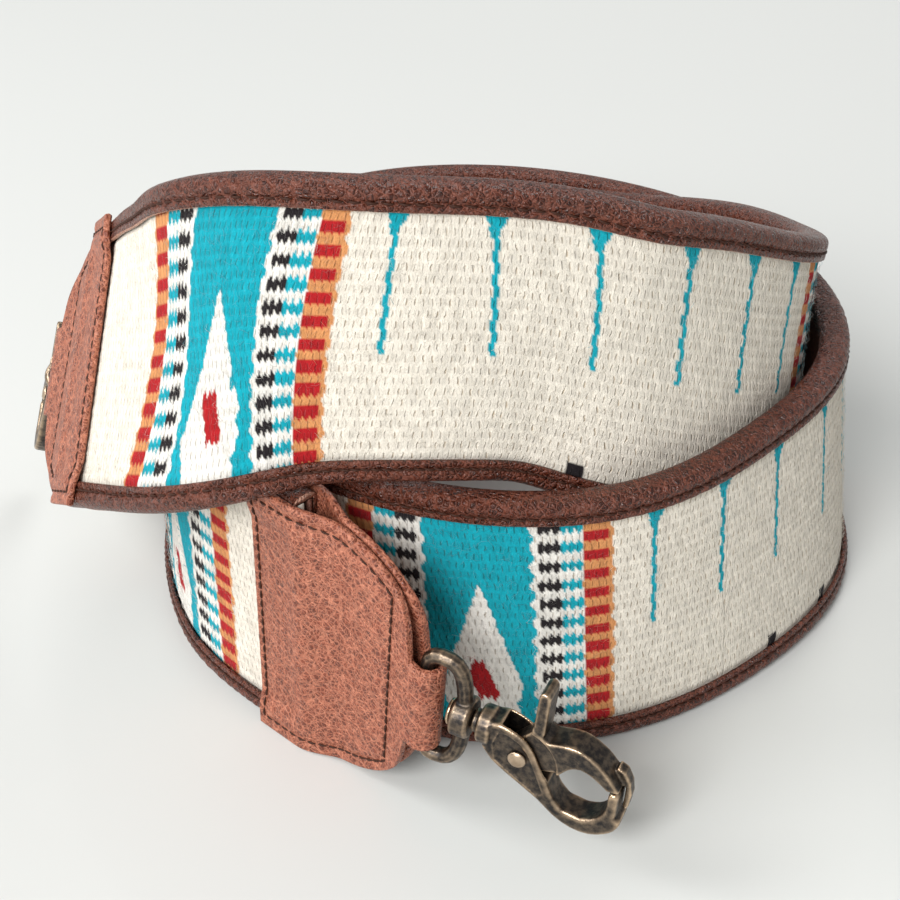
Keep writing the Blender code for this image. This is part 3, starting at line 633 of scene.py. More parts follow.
# %% [markdown]
# ## The woven band
#
# In a weft-faced tapestry the dyed wool runs across the band and hides the warp. Every warp thread
# makes a rib along the band, and on each rib the weft shows as a row of plump ovals. Neighbouring
# ribs are half a pick apart. One could paint this as a bump, but the ovals show at the band's outline
# and cast small shadows, so the surface itself is raised: each point takes the height of the highest
# oval over it, and the oval's dye.

# %% Sizes of the weave
STACK = 0.0041
WOOL_TOP = STACK / 2
WOOL_BACK = 0.00015
BINDING_EDGE = HALF_WIDTH - 0.0055
LAYER_EDGE = HALF_WIDTH - 0.0019
ROWS_PER_PICK, COLUMNS_PER_RIB = 4, 5
OVAL_LENGTH, OVAL_WIDTH = 0.00086, 0.0019
OVAL_HEIGHT = 0.0004
VISIBLE_HEIGHT = 2 * BINDING_EDGE

# %% [markdown]
# The pattern has motifs of stripes, checks and a stepped flame, with plain cream between them. Near
# a motif thin turquoise drips hang from the upper edge. The motifs' places are read from the
# photograph where it shows them, and spaced evenly where the band is hidden.

# %% Dyes and the pattern
CREAM, BLACK, TURQUOISE, RED, TAN, WHITE = range(6)
DYES = np.array((
    (0.82, 0.76, 0.66), (0.016, 0.012, 0.014), (0.004, 0.36, 0.45), (0.42, 0.012, 0.016),
    (0.66, 0.29, 0.11), (0.83, 0.80, 0.74),
))
# Painted shade: how much red, green and blue darken in the hollows between the ovals
PAINTED_HOLLOW_SHADE = np.array((0.2, 0.25, 0.32))
MOTIF_STARTS = np.array((0.0223, 0.1463, 0.2703, 0.437, 0.6007, 0.7644, 0.9281))
# Lengths along the band from here on are counted in picks, and drops are shares of the height
MOTIF = 36.5
TAN_WIDTH, CHECKS_MIDDLE, CHECKS_END, FIELD_START = 4, 7, 10, 11
DRIP_FIRST, DRIP_STEP, DRIP_WIDTH, DRIP_END = 6.2, 12.5, 0.86, 0.56
DRIP_SWING = 0.14
CAP_WIDTH, CAP_END = 2.4, 0.1
SQUARES, SQUARE_WIDTH, SQUARE_TOP = (31, 39.5), 2.0, 0.955
RED_SHARE, RED_SWING, TAN_EDGE = 0.66, 0.15, 0.5
FLAME_DROPS = (0.30, 0.36, 0.44, 0.52, 0.60, 0.68, 0.76, 0.84, 0.92, 1.0)
FLAME_LEFT = (0.0, 0.6, 1.5, 2.7, 3.4, 4.5, 5.2, 5.6, 4.8, 4.0)
FLAME_RIGHT = (0.0, 0.6, 1.4, 2.2, 3.0, 3.8, 4.8, 5.4, 4.6, 4.4)
LOZENGE_TOP, LOZENGE_MIDDLE, LOZENGE_END, LOZENGE_SLANT, LOZENGE_HALF = 0.66, 0.77, 0.88, 8, 1.4


def motif_share(pick):
    """Picks since the motif began, and picks of plain ground away from the nearest motif."""
    starts = MOTIF_STARTS / PICK
    number = np.searchsorted(starts, pick, side="right") - 1
    share = pick - starts[np.clip(number, 0, None)]
    after = share - MOTIF
    ahead = starts[np.clip(number + 1, 0, len(starts) - 1)] - pick
    run = np.where((ahead > 0) & (ahead < after), ahead, after)
    plain = (run > 0) & (number >= 0) & (number < len(starts) - 1)
    return share, np.where(plain, run, -1.0)


def dye_numbers(pick, rib, height):
    """The dye of each oval: pick counts along the band, height runs from 0 below to 1 above."""
    share = motif_share(pick)[0]
    drop = 1 - height
    odd = rib % 2 == 1
    dye = np.full(pick.shape, CREAM)
    near = np.minimum(share, MOTIF - share)
    inside = (share >= 0) & (share < MOTIF)
    dye[inside & (near < TAN_WIDTH)] = TAN
    checks = inside & (near >= TAN_WIDTH) & (near < CHECKS_MIDDLE)
    dye[checks] = np.where(odd[checks], WHITE, TURQUOISE)
    checks = inside & (near >= CHECKS_MIDDLE) & (near < CHECKS_END)
    dye[checks] = np.where(odd[checks], WHITE, BLACK)
    dye[inside & (near >= CHECKS_END) & (near < FIELD_START)] = WHITE
    field = inside & (near >= FIELD_START)
    dye[field] = TURQUOISE
    across = share - MOTIF / 2
    flame = field & (drop > FLAME_DROPS[0]) & (across < np.interp(drop, FLAME_DROPS, FLAME_LEFT))
    flame &= -across < np.interp(drop, FLAME_DROPS, FLAME_RIGHT)
    dye[flame] = WHITE
    beside = np.abs(across + (drop - LOZENGE_MIDDLE) * LOZENGE_SLANT)
    lozenge = flame & (drop > LOZENGE_TOP) & (drop < LOZENGE_END) & (beside < LOZENGE_HALF)
    dye[lozenge] = RED
    return dye


def add_lines(dye, pick, ribs, height):
    """Drips, squares and red bars follow the exact place and not the oval, so their edges run
    straighter. A drip is widest at the rim: half width + cap x (1 - drop / cap's end)^1.5."""
    share, run = motif_share(pick)
    drop = 1 - height
    near = np.minimum(share, MOTIF - share)
    bar = RED_SHARE - RED_SWING * np.cos(2 * pi * pick)
    dye[(near > TAN_EDGE) & (near < TAN_WIDTH) & (np.abs(ribs % 2 - 1.5) < bar)] = RED
    swing = DRIP_SWING * np.where(np.floor(ribs) % 2 == 1, 1, -1)
    off = np.abs((run - DRIP_FIRST + swing + DRIP_STEP / 2) % DRIP_STEP - DRIP_STEP / 2)
    half = DRIP_WIDTH / 2 + CAP_WIDTH / 2 * np.clip(1 - drop / CAP_END, 0, 1) ** 1.5
    dye[(run > DRIP_FIRST - 2) & (off < half) & (drop < DRIP_END)] = TURQUOISE
    for middle in SQUARES:
        dye[(run > 0) & (np.abs(run - middle) < SQUARE_WIDTH / 2) & (drop > SQUARE_TOP)] = BLACK


# %% [markdown]
# A hand-woven pattern seldom runs square across its band, and on this strap the cross lines fan out
# where the upper run comes down. The slant is read from the photograph: at some places along the
# band, how far the pattern lies ahead on the upper and on the lower rim. One could bend the mesh
# afterwards, but it is simpler to let the rows of the mesh follow the slanted lines.

# %% The slant of the pattern
# Pattern place, then how far along the band it lies ahead on the upper and on the lower rim, in mm
SLANT = np.array((
    (0, 0, 0), (370, 0, 0), (437, 0, -3), (475, 0, -3), (520, 0, 0), (700, 0, 0), (818, 6, -13),
    (846, 8, -17), (864, 10, -14), (882, 10, -8), (901, 7, 0), (919, 3, 9), (928, 1, 11.5),
    (944, -4.5, 15.5), (966, -13, 12), (982, -18, 9),
)) / 1000
SLANT_REACH, SLANT_SAMPLES = 0.02, 9


def slanted(places, across):
    """The band's place for each pattern place and height: the slant of both rims, averaged over a
    short reach and mixed by the height."""
    table = np.vstack((SLANT, (BAND_LENGTH, 0, 0)))
    nearby = places[..., None] + np.linspace(-0.5, 0.5, SLANT_SAMPLES) * SLANT_REACH
    upper, lower = (np.interp(nearby, table[:, 0], table[:, k]).mean(-1) for k in (1, 2))
    share = 0.5 + across / VISIBLE_HEIGHT
    ends = np.clip(np.minimum(places, BAND_LENGTH - places) / SLANT_REACH, 0, 1)
    return places + (lower + (upper - lower) * share) * ends


# %% The highest oval over each point
UNEVEN_PLACE, UNEVEN_HEIGHT = 0.1, 0.14
PICK_WAVE, RIB_WAVE, CHANCE_SCALE = 12.9898, 78.233, 43758.5453


def highest_ovals(places, across):
    """Dome = 1 - (along / half length)^2 - (across / half width)^2, the greatest over the nine ovals
    nearby, with that oval's dye and its chance, the fraction of a steep sine of pick and rib."""
    along_picks = (places / PICK)[:, None]
    ribs = across[None, :] / RIB
    best = np.full((len(places), len(across)), -9.0)
    dye = np.full(best.shape, CREAM)
    tone = np.zeros(best.shape)
    for side in (-1, 0, 1):
        rib = np.floor(ribs) + side + np.zeros_like(best)
        stagger = np.where(rib % 2 == 1, 0.5, 0.0)
        for step in (-1, 0, 1):
            pick = np.round(along_picks - stagger) + step
            seed = np.sin(pick * PICK_WAVE + rib * RIB_WAVE) * CHANCE_SCALE
            chance = seed - np.floor(seed)
            u = (along_picks - stagger - pick + (chance - 0.5) * UNEVEN_PLACE) * PICK / OVAL_LENGTH
            v = (ribs - rib - 0.5) * RIB / OVAL_WIDTH
            dome = 1 - u**2 - v**2 + UNEVEN_HEIGHT * (chance - 0.5)
            middle = np.clip((rib + 0.5) * RIB / VISIBLE_HEIGHT + 0.5, 0, 1)
            kind = dye_numbers(pick + stagger, rib, middle)
            higher = dome > best
            best = np.where(higher, dome, best)
            dye = np.where(higher, kind, dye)
            tone = np.where(higher, chance, tone)
    exact = np.broadcast_to(np.clip(across / VISIBLE_HEIGHT + 0.5, 0, 1), best.shape)
    add_lines(dye, along_picks + np.zeros_like(best), ribs + np.zeros_like(best), exact)
    return best, dye, tone


def keep_dye(mesh, colours):
    """Store each point's colour, which the wool's materials read by the name dye. On the woven wool
    this colour holds the painted shade of the hollows too.
    """
    colours = np.append(colours, np.ones((*colours.shape[:-1], 1)), axis=-1)
    layer = mesh.attributes.new("dye", "FLOAT_COLOR", "POINT")
    layer.data.foreach_set("color", colours.astype(np.float32).ravel())


# %% One stretch of the wool
PLUMPNESS = 0.6
PRESSED_WIDTH = 0.0016
BACK_STEP = 8
TONE_LOW, TONE_SPAN = 0.9, 0.16


def weave_surface(name, first, last):
    """Height = bottom + oval height x dome^plumpness. The edges are pressed down under the bindings,
    and the hollows between the ovals are darkened as painted shade."""
    places = np.arange(first, last + 1) * PICK / ROWS_PER_PICK
    columns = round(2 * LAYER_EDGE / RIB * COLUMNS_PER_RIB)
    across = np.linspace(-LAYER_EDGE, LAYER_EDGE, columns + 1)
    best, dye, tone = highest_ovals(places, across)
    best = np.clip(best, 0, 1) ** PLUMPNESS
    hold = np.clip((BINDING_EDGE + PRESSED_WIDTH / 2 - np.abs(across)) / PRESSED_WIDTH, 0, 1)
    height = WOOL_TOP - OVAL_HEIGHT + OVAL_HEIGHT * best * hold
    frames = band_frames(slanted(places[:, None], across[None, :]).ravel())
    spot, _, width, out = (rows.reshape(*best.shape, 3) for rows in frames)
    top = spot + across[None, :, None] * width + height[..., None] * out
    back = (spot + across[None, :, None] * width + WOOL_BACK * out)[:, ::-BACK_STEP]
    grid = np.concatenate((top, back), axis=1)
    count = back.shape[1]
    length = np.concatenate((across, across[::-BACK_STEP], across[:1]))
    place = np.stack(np.broadcast_arrays(places[:, None], length[None, :]), -1)
    item = surface(name, in_frame(grid), place, around=True, caps=True)
    # Painted shade: the hollows between the ovals are darkened by their depth
    painted_shade_depth = (1 - np.clip(best * 2, 0, 1))[..., None]
    colours = DYES[dye] * (TONE_LOW + TONE_SPAN * tone[..., None]) * (1 - PAINTED_HOLLOW_SHADE * painted_shade_depth)
    colours = np.concatenate((colours, np.repeat(colours[:, -1:], count, axis=1)), axis=1)
    keep_dye(item.data, colours)
    return item


WOOL_PIECES = 5
wool_rows = int(BAND_LENGTH / PICK * ROWS_PER_PICK)
cuts = np.linspace(0, wool_rows, WOOL_PIECES + 1).astype(int)
for number, (first, last) in enumerate(zip(cuts, cuts[1:]), 1):
    wool = weave_surface(f"woven_wool_{number}", first, last)
    hang(wool, "strap", "wool", weft_wool, "woven_band")
    print(wool.name, "quads", len(wool.data.polygons))


# %% [markdown]
# ## Loose fibres
#
# Wool is never quite smooth: short curved fibres stand off the tufts and catch the light, most of
# all at the band's outline. Each is a thin three-sided tube with one bend, in the dye below it and a
# little paler. A hair system would need a modifier, so they are plain meshes here. The stitches are
# short tubes too, so one function builds both.

# %% Fibre material and short rods
def make_fibre():
    """The dye below the fibre, made lighter and darker by noise."""
    made, tree, shader = new_material("loose_fibre")
    dye = node(tree, "ShaderNodeAttribute", attribute_name="dye").outputs["Color"]
    shade = noise(tree, object_place(tree), 900, 2)
    tree.links.new(scaled(tree, dye, sum_of(tree, (shade, 0.4), (0.8, 1.0))), shader.inputs["Base Color"])
    tree.links.new(sum_of(tree, (shade, 0.2), (0.7, 1.0)), shader.inputs["Roughness"])
    relief(tree, shader, shade, 0.00002)
    return made


loose_fibre = make_fibre()


def short_rods(name, points):
    """Many closed rods in one mesh. The points run over the rods, their rings and the corners."""
    count, rings, corners = points.shape[:3]
    base = np.arange(count * rings * corners).reshape(count, rings, corners)
    closed = np.concatenate((base, base[:, :, :1]), axis=2)
    low, high = closed[:, :-1], closed[:, 1:]
    quads = np.stack((low[..., :-1], high[..., :-1], high[..., 1:], low[..., 1:]), -1).reshape(-1, 4)
    ends = np.concatenate((base[:, 0], base[:, -1, ::-1]))
    mesh = bpy.data.meshes.new(name)
    mesh.from_pydata(in_frame(points.reshape(-1, 3)).tolist(), [], quads.tolist() + ends.tolist())
    mesh.update()
    mesh.shade_smooth()
    return into_scene(name, mesh)


def ring_round(angle, side, out):
    """Corners of a ring of radius 1: cos(angle) x side + sin(angle) x out."""
    return np.cos(angle)[None, :, None] * side[:, None] + np.sin(angle)[None, :, None] * out[:, None]


# %% Fuzz
FUZZ_PIECES, FIBRES = 2, 8500
FIBRE_RADIUS, FIBRE_TAPER = 0.00003, np.array((1, 0.9, 0.5))
FIBRE_SHORTEST, FIBRE_LONGEST = 0.001, 0.003
LIFT_LEAST, LIFT_MOST, FREE_MOST = 0.0001, 0.0007, 0.0006
HEADING_SPREAD, BEND_SPREAD = 0.7, 0.3
ROOT_DEPTH, RIM_MARGIN, END_MARGIN = 0.0001, 0.001, 0.015
DYE_SHARE, PALE_SHARE = 0.8, 0.14


def wool_fuzz(name, chances, first, last):
    """Arc: height = lift x 4 t (1 - t), and the same sideways; the free end stands off a little."""
    place = chances.uniform(first, last, FIBRES)
    height = chances.uniform(-1, 1, FIBRES) * (BINDING_EDGE - RIM_MARGIN)
    spot, travel, width, out = band_frames(slanted(place, height))
    heading = chances.normal(pi / 2, HEADING_SPREAD, FIBRES)[:, None]
    ahead = np.cos(heading) * travel + np.sin(heading) * width
    side = np.cross(out, ahead)
    length = chances.uniform(FIBRE_SHORTEST, FIBRE_LONGEST, FIBRES)
    lift = chances.uniform(LIFT_LEAST, LIFT_MOST, FIBRES)
    bend = chances.normal(0, BEND_SPREAD, FIBRES) * length
    free = chances.uniform(0, FREE_MOST, FIBRES)
    steps = np.array((0, 0.5, 1))
    arch = 4 * steps * (1 - steps)
    ahead_by = (steps - 0.5) * length[:, None]
    off_by = WOOL_TOP - ROOT_DEPTH + arch * lift[:, None] + steps * free[:, None]
    centre = ((spot + height[:, None] * width)[:, None] + ahead_by[..., None] * ahead[:, None]
              + off_by[..., None] * out[:, None] + (arch * bend[:, None])[..., None] * side[:, None])
    ring = ring_round(np.arange(3) * 2 * pi / 3, side, out) * FIBRE_RADIUS
    points = centre[:, :, None] + ring[:, None] * FIBRE_TAPER[None, :, None, None]
    item = short_rods(name, points)
    rib = np.floor(height / RIB)
    share = height / VISIBLE_HEIGHT + 0.5
    dye = dye_numbers(place / PICK, rib, share)
    add_lines(dye, place / PICK, height / RIB, share)
    colours = DYES[dye] * DYE_SHARE + DYES[WHITE] * PALE_SHARE
    keep_dye(item.data, np.repeat(colours, points[0, ..., 0].size, axis=0))
    return hang(item, "strap", "wool", loose_fibre)


chances = np.random.default_rng(7)
span = (BAND_LENGTH - 2 * END_MARGIN) / FUZZ_PIECES
for number in range(FUZZ_PIECES):
    first = END_MARGIN + number * span
    fuzz = wool_fuzz(f"wool_fuzz_{number + 1}", chances, first, END_MARGIN + (number + 1) * span)
    print(fuzz.name, "faces", len(fuzz.data.polygons))


# %% [markdown]
# ## Lining and felt core
#
# The back of the strap is a smooth strip of leather, seen inside the coil. Leather that is bent
# round a coil buckles a little, so the strip gets shallow waves. The felt core lies between wool
# and lining. It is a plain strip, seen only where a strap is cut.

# %% Lining and felt
LINING_TOP = -0.00115
FELT_BOTTOM, FELT_TOP = -0.0009, -0.0001
BUCKLE_LENGTH, BUCKLE_WAVE, BUCKLE_HEIGHT = 0.037, 41, 0.00012


def flat_layer(name, low, high, edge, step, columns, wave=0.0):
    """A closed strip from low to high, with waves of the given height on its lower face."""
    places = np.linspace(0, BAND_LENGTH, round(BAND_LENGTH / step) + 1)
    across = np.linspace(-edge, edge, columns)
    spot, _, width, out = band_frames(places)
    ripple = np.sin(places * 2 * pi / BUCKLE_LENGTH + 2 * np.sin(places * BUCKLE_WAVE))
    buckle = wave * ripple[:, None] * np.cos(across[None, :] * pi / 2 / edge)
    depth = (low - buckle[:, ::-1, None]) * out[:, None]
    top = spot[:, None] + across[None, :, None] * width[:, None] + high * out[:, None]
    back = spot[:, None] + across[None, ::-1, None] * width[:, None] + depth
    return surface(name, in_frame(np.concatenate((top, back), axis=1)), around=True, caps=True)


lining = flat_layer("leather_lining_strip", -STACK / 2, LINING_TOP, LAYER_EDGE,
                    step=0.0025, columns=21, wave=BUCKLE_HEIGHT)
hang(lining, "strap", "lining_leather", lining_leather, "leather_lining")
felt = flat_layer("felt_core", FELT_BOTTOM, FELT_TOP, BINDING_EDGE, step=0.004, columns=7)
hang(felt, "strap", "felt", grey_felt, "interlining")


# %% [markdown]
# ## Edge bindings
#
# Each binding is a strip of leather folded over the edge and sewn through near its rim. The stitches
# draw the leather down in a groove, and the fold between groove and edge stays plump. The profile
# is a closed loop of points across the strip, and the groove's depth swings with the stitches.

# %% Binding profile and surface
BINDING_INNER = 0.00235
BINDING_OUTER = 0.00325
STITCH_PITCH = 0.00244
STITCH_LINE = BINDING_EDGE + 0.0018
BINDING_HOLLOW = LAYER_EDGE + 0.0003
RIM_FLAT, RIM_ROUND, FACE_START, FACE_BELLY = 0.00035, 0.00012, 0.0004, 0.00012
ROLL_START, ROLL_HEIGHT, ROLL_POWER = HALF_WIDTH - 0.0020, 0.00205, 0.8
ROLL_REACH = BINDING_OUTER + 0.0001
GROOVE_HALF, GROOVE_DEPTH, HOLE_DEPTH = 0.00055, 0.00032, 0.0002
PLUMP_AWAY, PLUMP_HALF, PLUMP_HEIGHT = 0.0016, 0.0008, 0.00012
CRUMPLE_HEIGHT, CRUMPLE_ALONG, CRUMPLE_DRIFT, CRUMPLE_ACROSS = 0.00009, 2100, 310, 1400


def binding_profile():
    """Half a profile, outside, as offset and height, from the rim's inner corner to the top: a rim, a
    face with a belly of half a sine, and a roll of offset x cos(t)^power and height x sin(t)."""
    rim = [(BINDING_INNER, BINDING_EDGE), (BINDING_OUTER - RIM_FLAT, BINDING_EDGE),
           (BINDING_OUTER - RIM_ROUND, BINDING_EDGE + RIM_ROUND)]
    heights = np.linspace(BINDING_EDGE + FACE_START, ROLL_START, 11)
    width = HALF_WIDTH - BINDING_EDGE
    face = [(BINDING_OUTER + FACE_BELLY * sin(pi * (w - BINDING_EDGE) / width), w) for w in heights]
    roll = [(ROLL_REACH * cos(t) ** ROLL_POWER, ROLL_START + ROLL_HEIGHT * sin(t))
            for t in np.linspace(0, pi / 2, 8)[1:-1]]
    return np.array(rim + face + roll + [(0, ROLL_START + ROLL_HEIGHT)])


def binding_surface(name, side):
    """Carry the profile along the band; side is 1 above and -1 below. The groove and the plump fold
    are bell curves across the strip, deeper and flatter at the holes."""
    half = binding_profile()
    other = half[-2::-1] * (-1, 1)
    inner = np.array([(-BINDING_INNER, BINDING_HOLLOW), (BINDING_INNER, BINDING_HOLLOW)])
    section = np.vstack((half, other, inner))
    places = np.arange(0, BAND_LENGTH, STITCH_PITCH / 4)
    places = np.append(places, BAND_LENGTH)
    offset = np.repeat(section[None, :, 0], len(places), axis=0)
    height = np.repeat(section[None, :, 1], len(places), axis=0)
    holes = 0.5 + 0.5 * np.cos(2 * pi * places / STITCH_PITCH)[:, None]
    groove = np.exp(-((height - STITCH_LINE) / GROOVE_HALF) ** 2) * (GROOVE_DEPTH + HOLE_DEPTH * holes)
    fold = np.exp(-((height - STITCH_LINE - PLUMP_AWAY) / PLUMP_HALF) ** 2)
    plump = fold * PLUMP_HEIGHT * (1 - holes)
    wave = np.sin(places * CRUMPLE_ALONG + 3 * np.sin(places * CRUMPLE_DRIFT))[:, None]
    crumple = CRUMPLE_HEIGHT * wave * np.sin(height * CRUMPLE_ACROSS)
    outer = np.abs(offset) > BINDING_INNER + 0.0001
    offset = offset + np.sign(offset) * np.where(outer, plump - groove + crumple, 0)
    if side < 0:
        offset, height = offset[:, ::-1], -height[:, ::-1]
    spot, _, width, out = band_frames(places)
    grid = spot[:, None] + height[..., None] * width[:, None] + offset[..., None] * out[:, None]
    lengths = np.append(0, np.cumsum(np.linalg.norm(np.diff(section, axis=0), axis=1)))
    lengths = np.append(lengths, lengths[-1] + 2 * BINDING_INNER)
    place = np.stack(np.broadcast_arrays(places[:, None], lengths[None, :]), -1)
    return surface(name, in_frame(grid), place, around=True, caps=True)


for level, side in (("upper", 1), ("lower", -1)):
    binding = binding_surface(f"{level}_binding_leather", side)
    hang(binding, "strap", "leather", binding_leather, f"{level}_edge_binding")
    print(binding.name, "quads", len(binding.data.polygons))


# %% [markdown]
# ## Stitches
#
# A stitch is a short sunk arch of thread. There are some two thousand, so each has only 26 faces. All
# stitches of one seam are one array: the arch's points times the directions at each place.

# %% Many stitches at once
THREAD_RADIUS, THREAD_TAPER = 0.00026, np.array((0.45, 0.95, 1.05, 0.95, 0.45))
THREAD_RISE, THREAD_SINK = 0.00042, 0.0003
THREAD_CORNERS = 6
STITCH_FACES = (len(THREAD_TAPER) - 1) * THREAD_CORNERS + 2
BINDING_STITCH, TAB_STITCH = 0.0025, 0.0026
BINDING_SEAT, TAB_SEAT = 0.0001, 0.00025
STITCH_SLANT = 0.10


def stitches(name, spots, along, out, length):
    """Arch: height = rise x (1 - (2 x / length)^2) - sink; a ring of six points at each of five
    steps."""
    steps = np.linspace(-0.5, 0.5, len(THREAD_TAPER))
    lift = THREAD_RISE * (1 - (2 * steps) ** 2) - THREAD_SINK
    radius = THREAD_RADIUS * THREAD_TAPER
    ahead = (steps * length)[None, :, None] * along[:, None]
    centre = spots[:, None] + ahead + lift[None, :, None] * out[:, None]
    angle = np.arange(THREAD_CORNERS) * 2 * pi / THREAD_CORNERS
    ring = ring_round(angle, np.cross(out, along), out)
    points = centre[:, :, None] + radius[None, :, None, None] * ring[:, None]
    return hang(short_rods(name, points), "strap", "leather", waxed_thread)


def binding_stitches(name, side):
    """The seam on both faces of a binding, each stitch turned a little across the strip."""
    places = np.arange(0.5, BAND_LENGTH / STITCH_PITCH - 0.5) * STITCH_PITCH
    spot, travel, width, out = band_frames(places)
    seat = BINDING_OUTER - BINDING_SEAT
    row = side * STITCH_LINE * width
    slant = unit(travel + STITCH_SLANT * width)
    spots = np.vstack((spot + row + seat * out, spot + row - seat * out))
    return stitches(name, spots, np.vstack((slant, slant)), np.vstack((out, -out)), BINDING_STITCH)


for level, side in (("upper", 1), ("lower", -1)):
    seam = binding_stitches(f"{level}_binding_stitches", side)
    print(seam.name, "faces", len(seam.data.polygons))


# %% [markdown]
# ## The folded tabs
#
# A tab is one strip of leather: an outer leaf, a loop round the ring's bar and an inner leaf. The
# leaf is as wide as the band, then its shoulders curve in to the loop. The strip's middle line runs
# from leaf edge to leaf edge, and at each step the section has the width that the reach gives.

# %% Tab shape and seam
TAB_LEATHER = 0.0016
TAB_SKIN = TAB_LEATHER / 2
BAR_RADIUS, BAR_CLEARANCE = 0.0017, 0.0003
LEAF_CLEARANCE, CLOSED_GAP = 0.0003, 0.00025
LEAF_OFFSET = BINDING_OUTER + LEAF_CLEARANCE + TAB_SKIN
CLOSED_OFFSET = CLOSED_GAP + TAB_SKIN
LOOP_OFFSET = BAR_RADIUS + BAR_CLEARANCE + TAB_SKIN
CLOSING_END, OPENING_START = TAB_GRIP + 0.012, TAB_LENGTH - 0.009
SEAM_START, SEAM_INSET, SEAM_END = 0.0016, 0.0029, 0.0365
SEAM_POINTS, ROUTE_POINTS, STITCH_REACH = 60, 500, 0.0008
SAG, SAG_FADE = 0.0011, 0.003
SAG_START, SAG_FULL = BINDING_EDGE + 0.001, BINDING_EDGE - 0.004


def running_length(route):
    """The length of the route up to each of its points."""
    return np.append(0, np.cumsum(np.linalg.norm(np.diff(route, axis=0), axis=1)))


def along_route(route, places):
    """The route's points at the given lengths."""
    lengths = running_length(route)
    return np.column_stack([np.interp(places, lengths, route[:, k]) for k in range(route.shape[1])])


def tab_half_width(reach):
    """Superellipse shoulder: loop + (band - loop) x (1 - t^p)^(1/p)."""
    t = np.clip((reach - SHOULDER_START) / (SHOULDER_END - SHOULDER_START), 0, 1)
    shoulder = (1 - t**SHOULDER_POWER) ** (1 / SHOULDER_POWER)
    return LOOP_HALF_WIDTH + (HALF_WIDTH - LOOP_HALF_WIDTH) * shoulder


def seam_route():
    """The stitched outline on a leaf, as reach and height, closed by a line across before the loop;
    then each stitch's middle and its direction."""
    reach = np.linspace(SEAM_START, SEAM_END, SEAM_POINTS)
    edge = tab_half_width(reach) - SEAM_INSET
    up = np.column_stack((reach, edge))
    down = np.column_stack((reach[::-1], -edge[::-1]))
    route = np.vstack((up, down, up[:1]))
    whole = running_length(route)[-1]
    count = round(whole / STITCH_PITCH)
    marks = (np.arange(count) + 0.5) * whole / count
    ahead, behind = along_route(route, marks + STITCH_REACH), along_route(route, marks - STITCH_REACH)
    return route, along_route(route, marks), unit(ahead - behind)


def leaf_frames(end, reach):
    """Point, heading, width, outward direction and offset of the strip at each reach."""
    marks, spot, ahead, width, out = TAB_SPINES[end]
    parts = [np.column_stack([np.interp(reach, marks, rows[:, k]) for k in range(3)])
             for rows in (spot, ahead, width, out)]
    offset = (LEAF_OFFSET + (CLOSED_OFFSET - LEAF_OFFSET) * eased(reach, TAB_GRIP, CLOSING_END)
              + (LOOP_OFFSET - CLOSED_OFFSET) * eased(reach, OPENING_START, TAB_LENGTH))
    return parts[0], unit(parts[1]), unit(parts[2]), unit(parts[3]), offset


def leaf_sag(reach, height):
    """The leaf sinks between the two bindings, where only the flat layers are under it."""
    between = eased(np.abs(height), SAG_START, SAG_FULL)
    return SAG * between * (1 - eased(reach, TAB_GRIP - SAG_FADE, TAB_GRIP + SAG_FADE))


# %% The strip's section and the relief of its seam
OUTER_COLUMNS, INNER_STEP = 61, 3
EDGE_ROUND = 0.0004
CORNER_REACH, CORNER_DEPTH = np.array((0.55, 0.92)), np.array((0.85, 0.35))
SEAM_GROOVE, SEAM_GROOVE_HALF = 0.00045, 0.0006
PUFF_HEIGHT, PUFF_REACH = 0.0003, 0.003


def strip_section(edge):
    """Widths and depths once round the strip: outer face, two points of each corner, inner face."""
    lip = (edge - EDGE_ROUND) / edge
    face = np.linspace(-1, 1, OUTER_COLUMNS)[None, :] * lip
    corner = 1 - (1 - lip) * (1 - CORNER_REACH[None, :])
    inner = face[:, ::-INNER_STEP]
    shares = np.concatenate((face, corner, corner[:, ::-1], inner, -corner, -corner[:, ::-1]), axis=1)
    down = np.append(CORNER_DEPTH, -CORNER_DEPTH[::-1])
    depths = np.concatenate((np.ones(OUTER_COLUMNS), down, -np.ones(inner.shape[1]), -down))
    return shares * edge, TAB_SKIN * np.repeat(depths[None, :], len(edge), axis=0)


def seam_relief(reaches, across, edge):
    """A groove, -depth x exp(-(gap / half width)^2), where gap is the way to the seam, and inside the
    seam a puff of height x (1 - exp(-(gap / reach)^2))."""
    route = seam_route()[0]
    dense = along_route(route, np.linspace(0, running_length(route)[-1], ROUTE_POINTS))
    gap = np.sqrt(((reaches[:, None, None] - dense[None, None, :, 0]) ** 2
                   + (across[:, :, None] - dense[None, None, :, 1]) ** 2).min(2))
    groove = SEAM_GROOVE * np.exp(-(gap / SEAM_GROOVE_HALF) ** 2)
    beyond = (reaches[:, None] <= SEAM_START) | (reaches[:, None] >= SEAM_END)
    inside = (np.abs(across) < edge - SEAM_INSET) & ~beyond
    return PUFF_HEIGHT * (1 - np.exp(-(gap / PUFF_REACH) ** 2)) * inside - groove


# %% Tab surface
LEAF_START, LEAF_ROWS, LOOP_ROWS = 0.0009, 88, 16
END_ROWS, END_THICKNESS = (0, 0.00012, 0.0004), 0.45


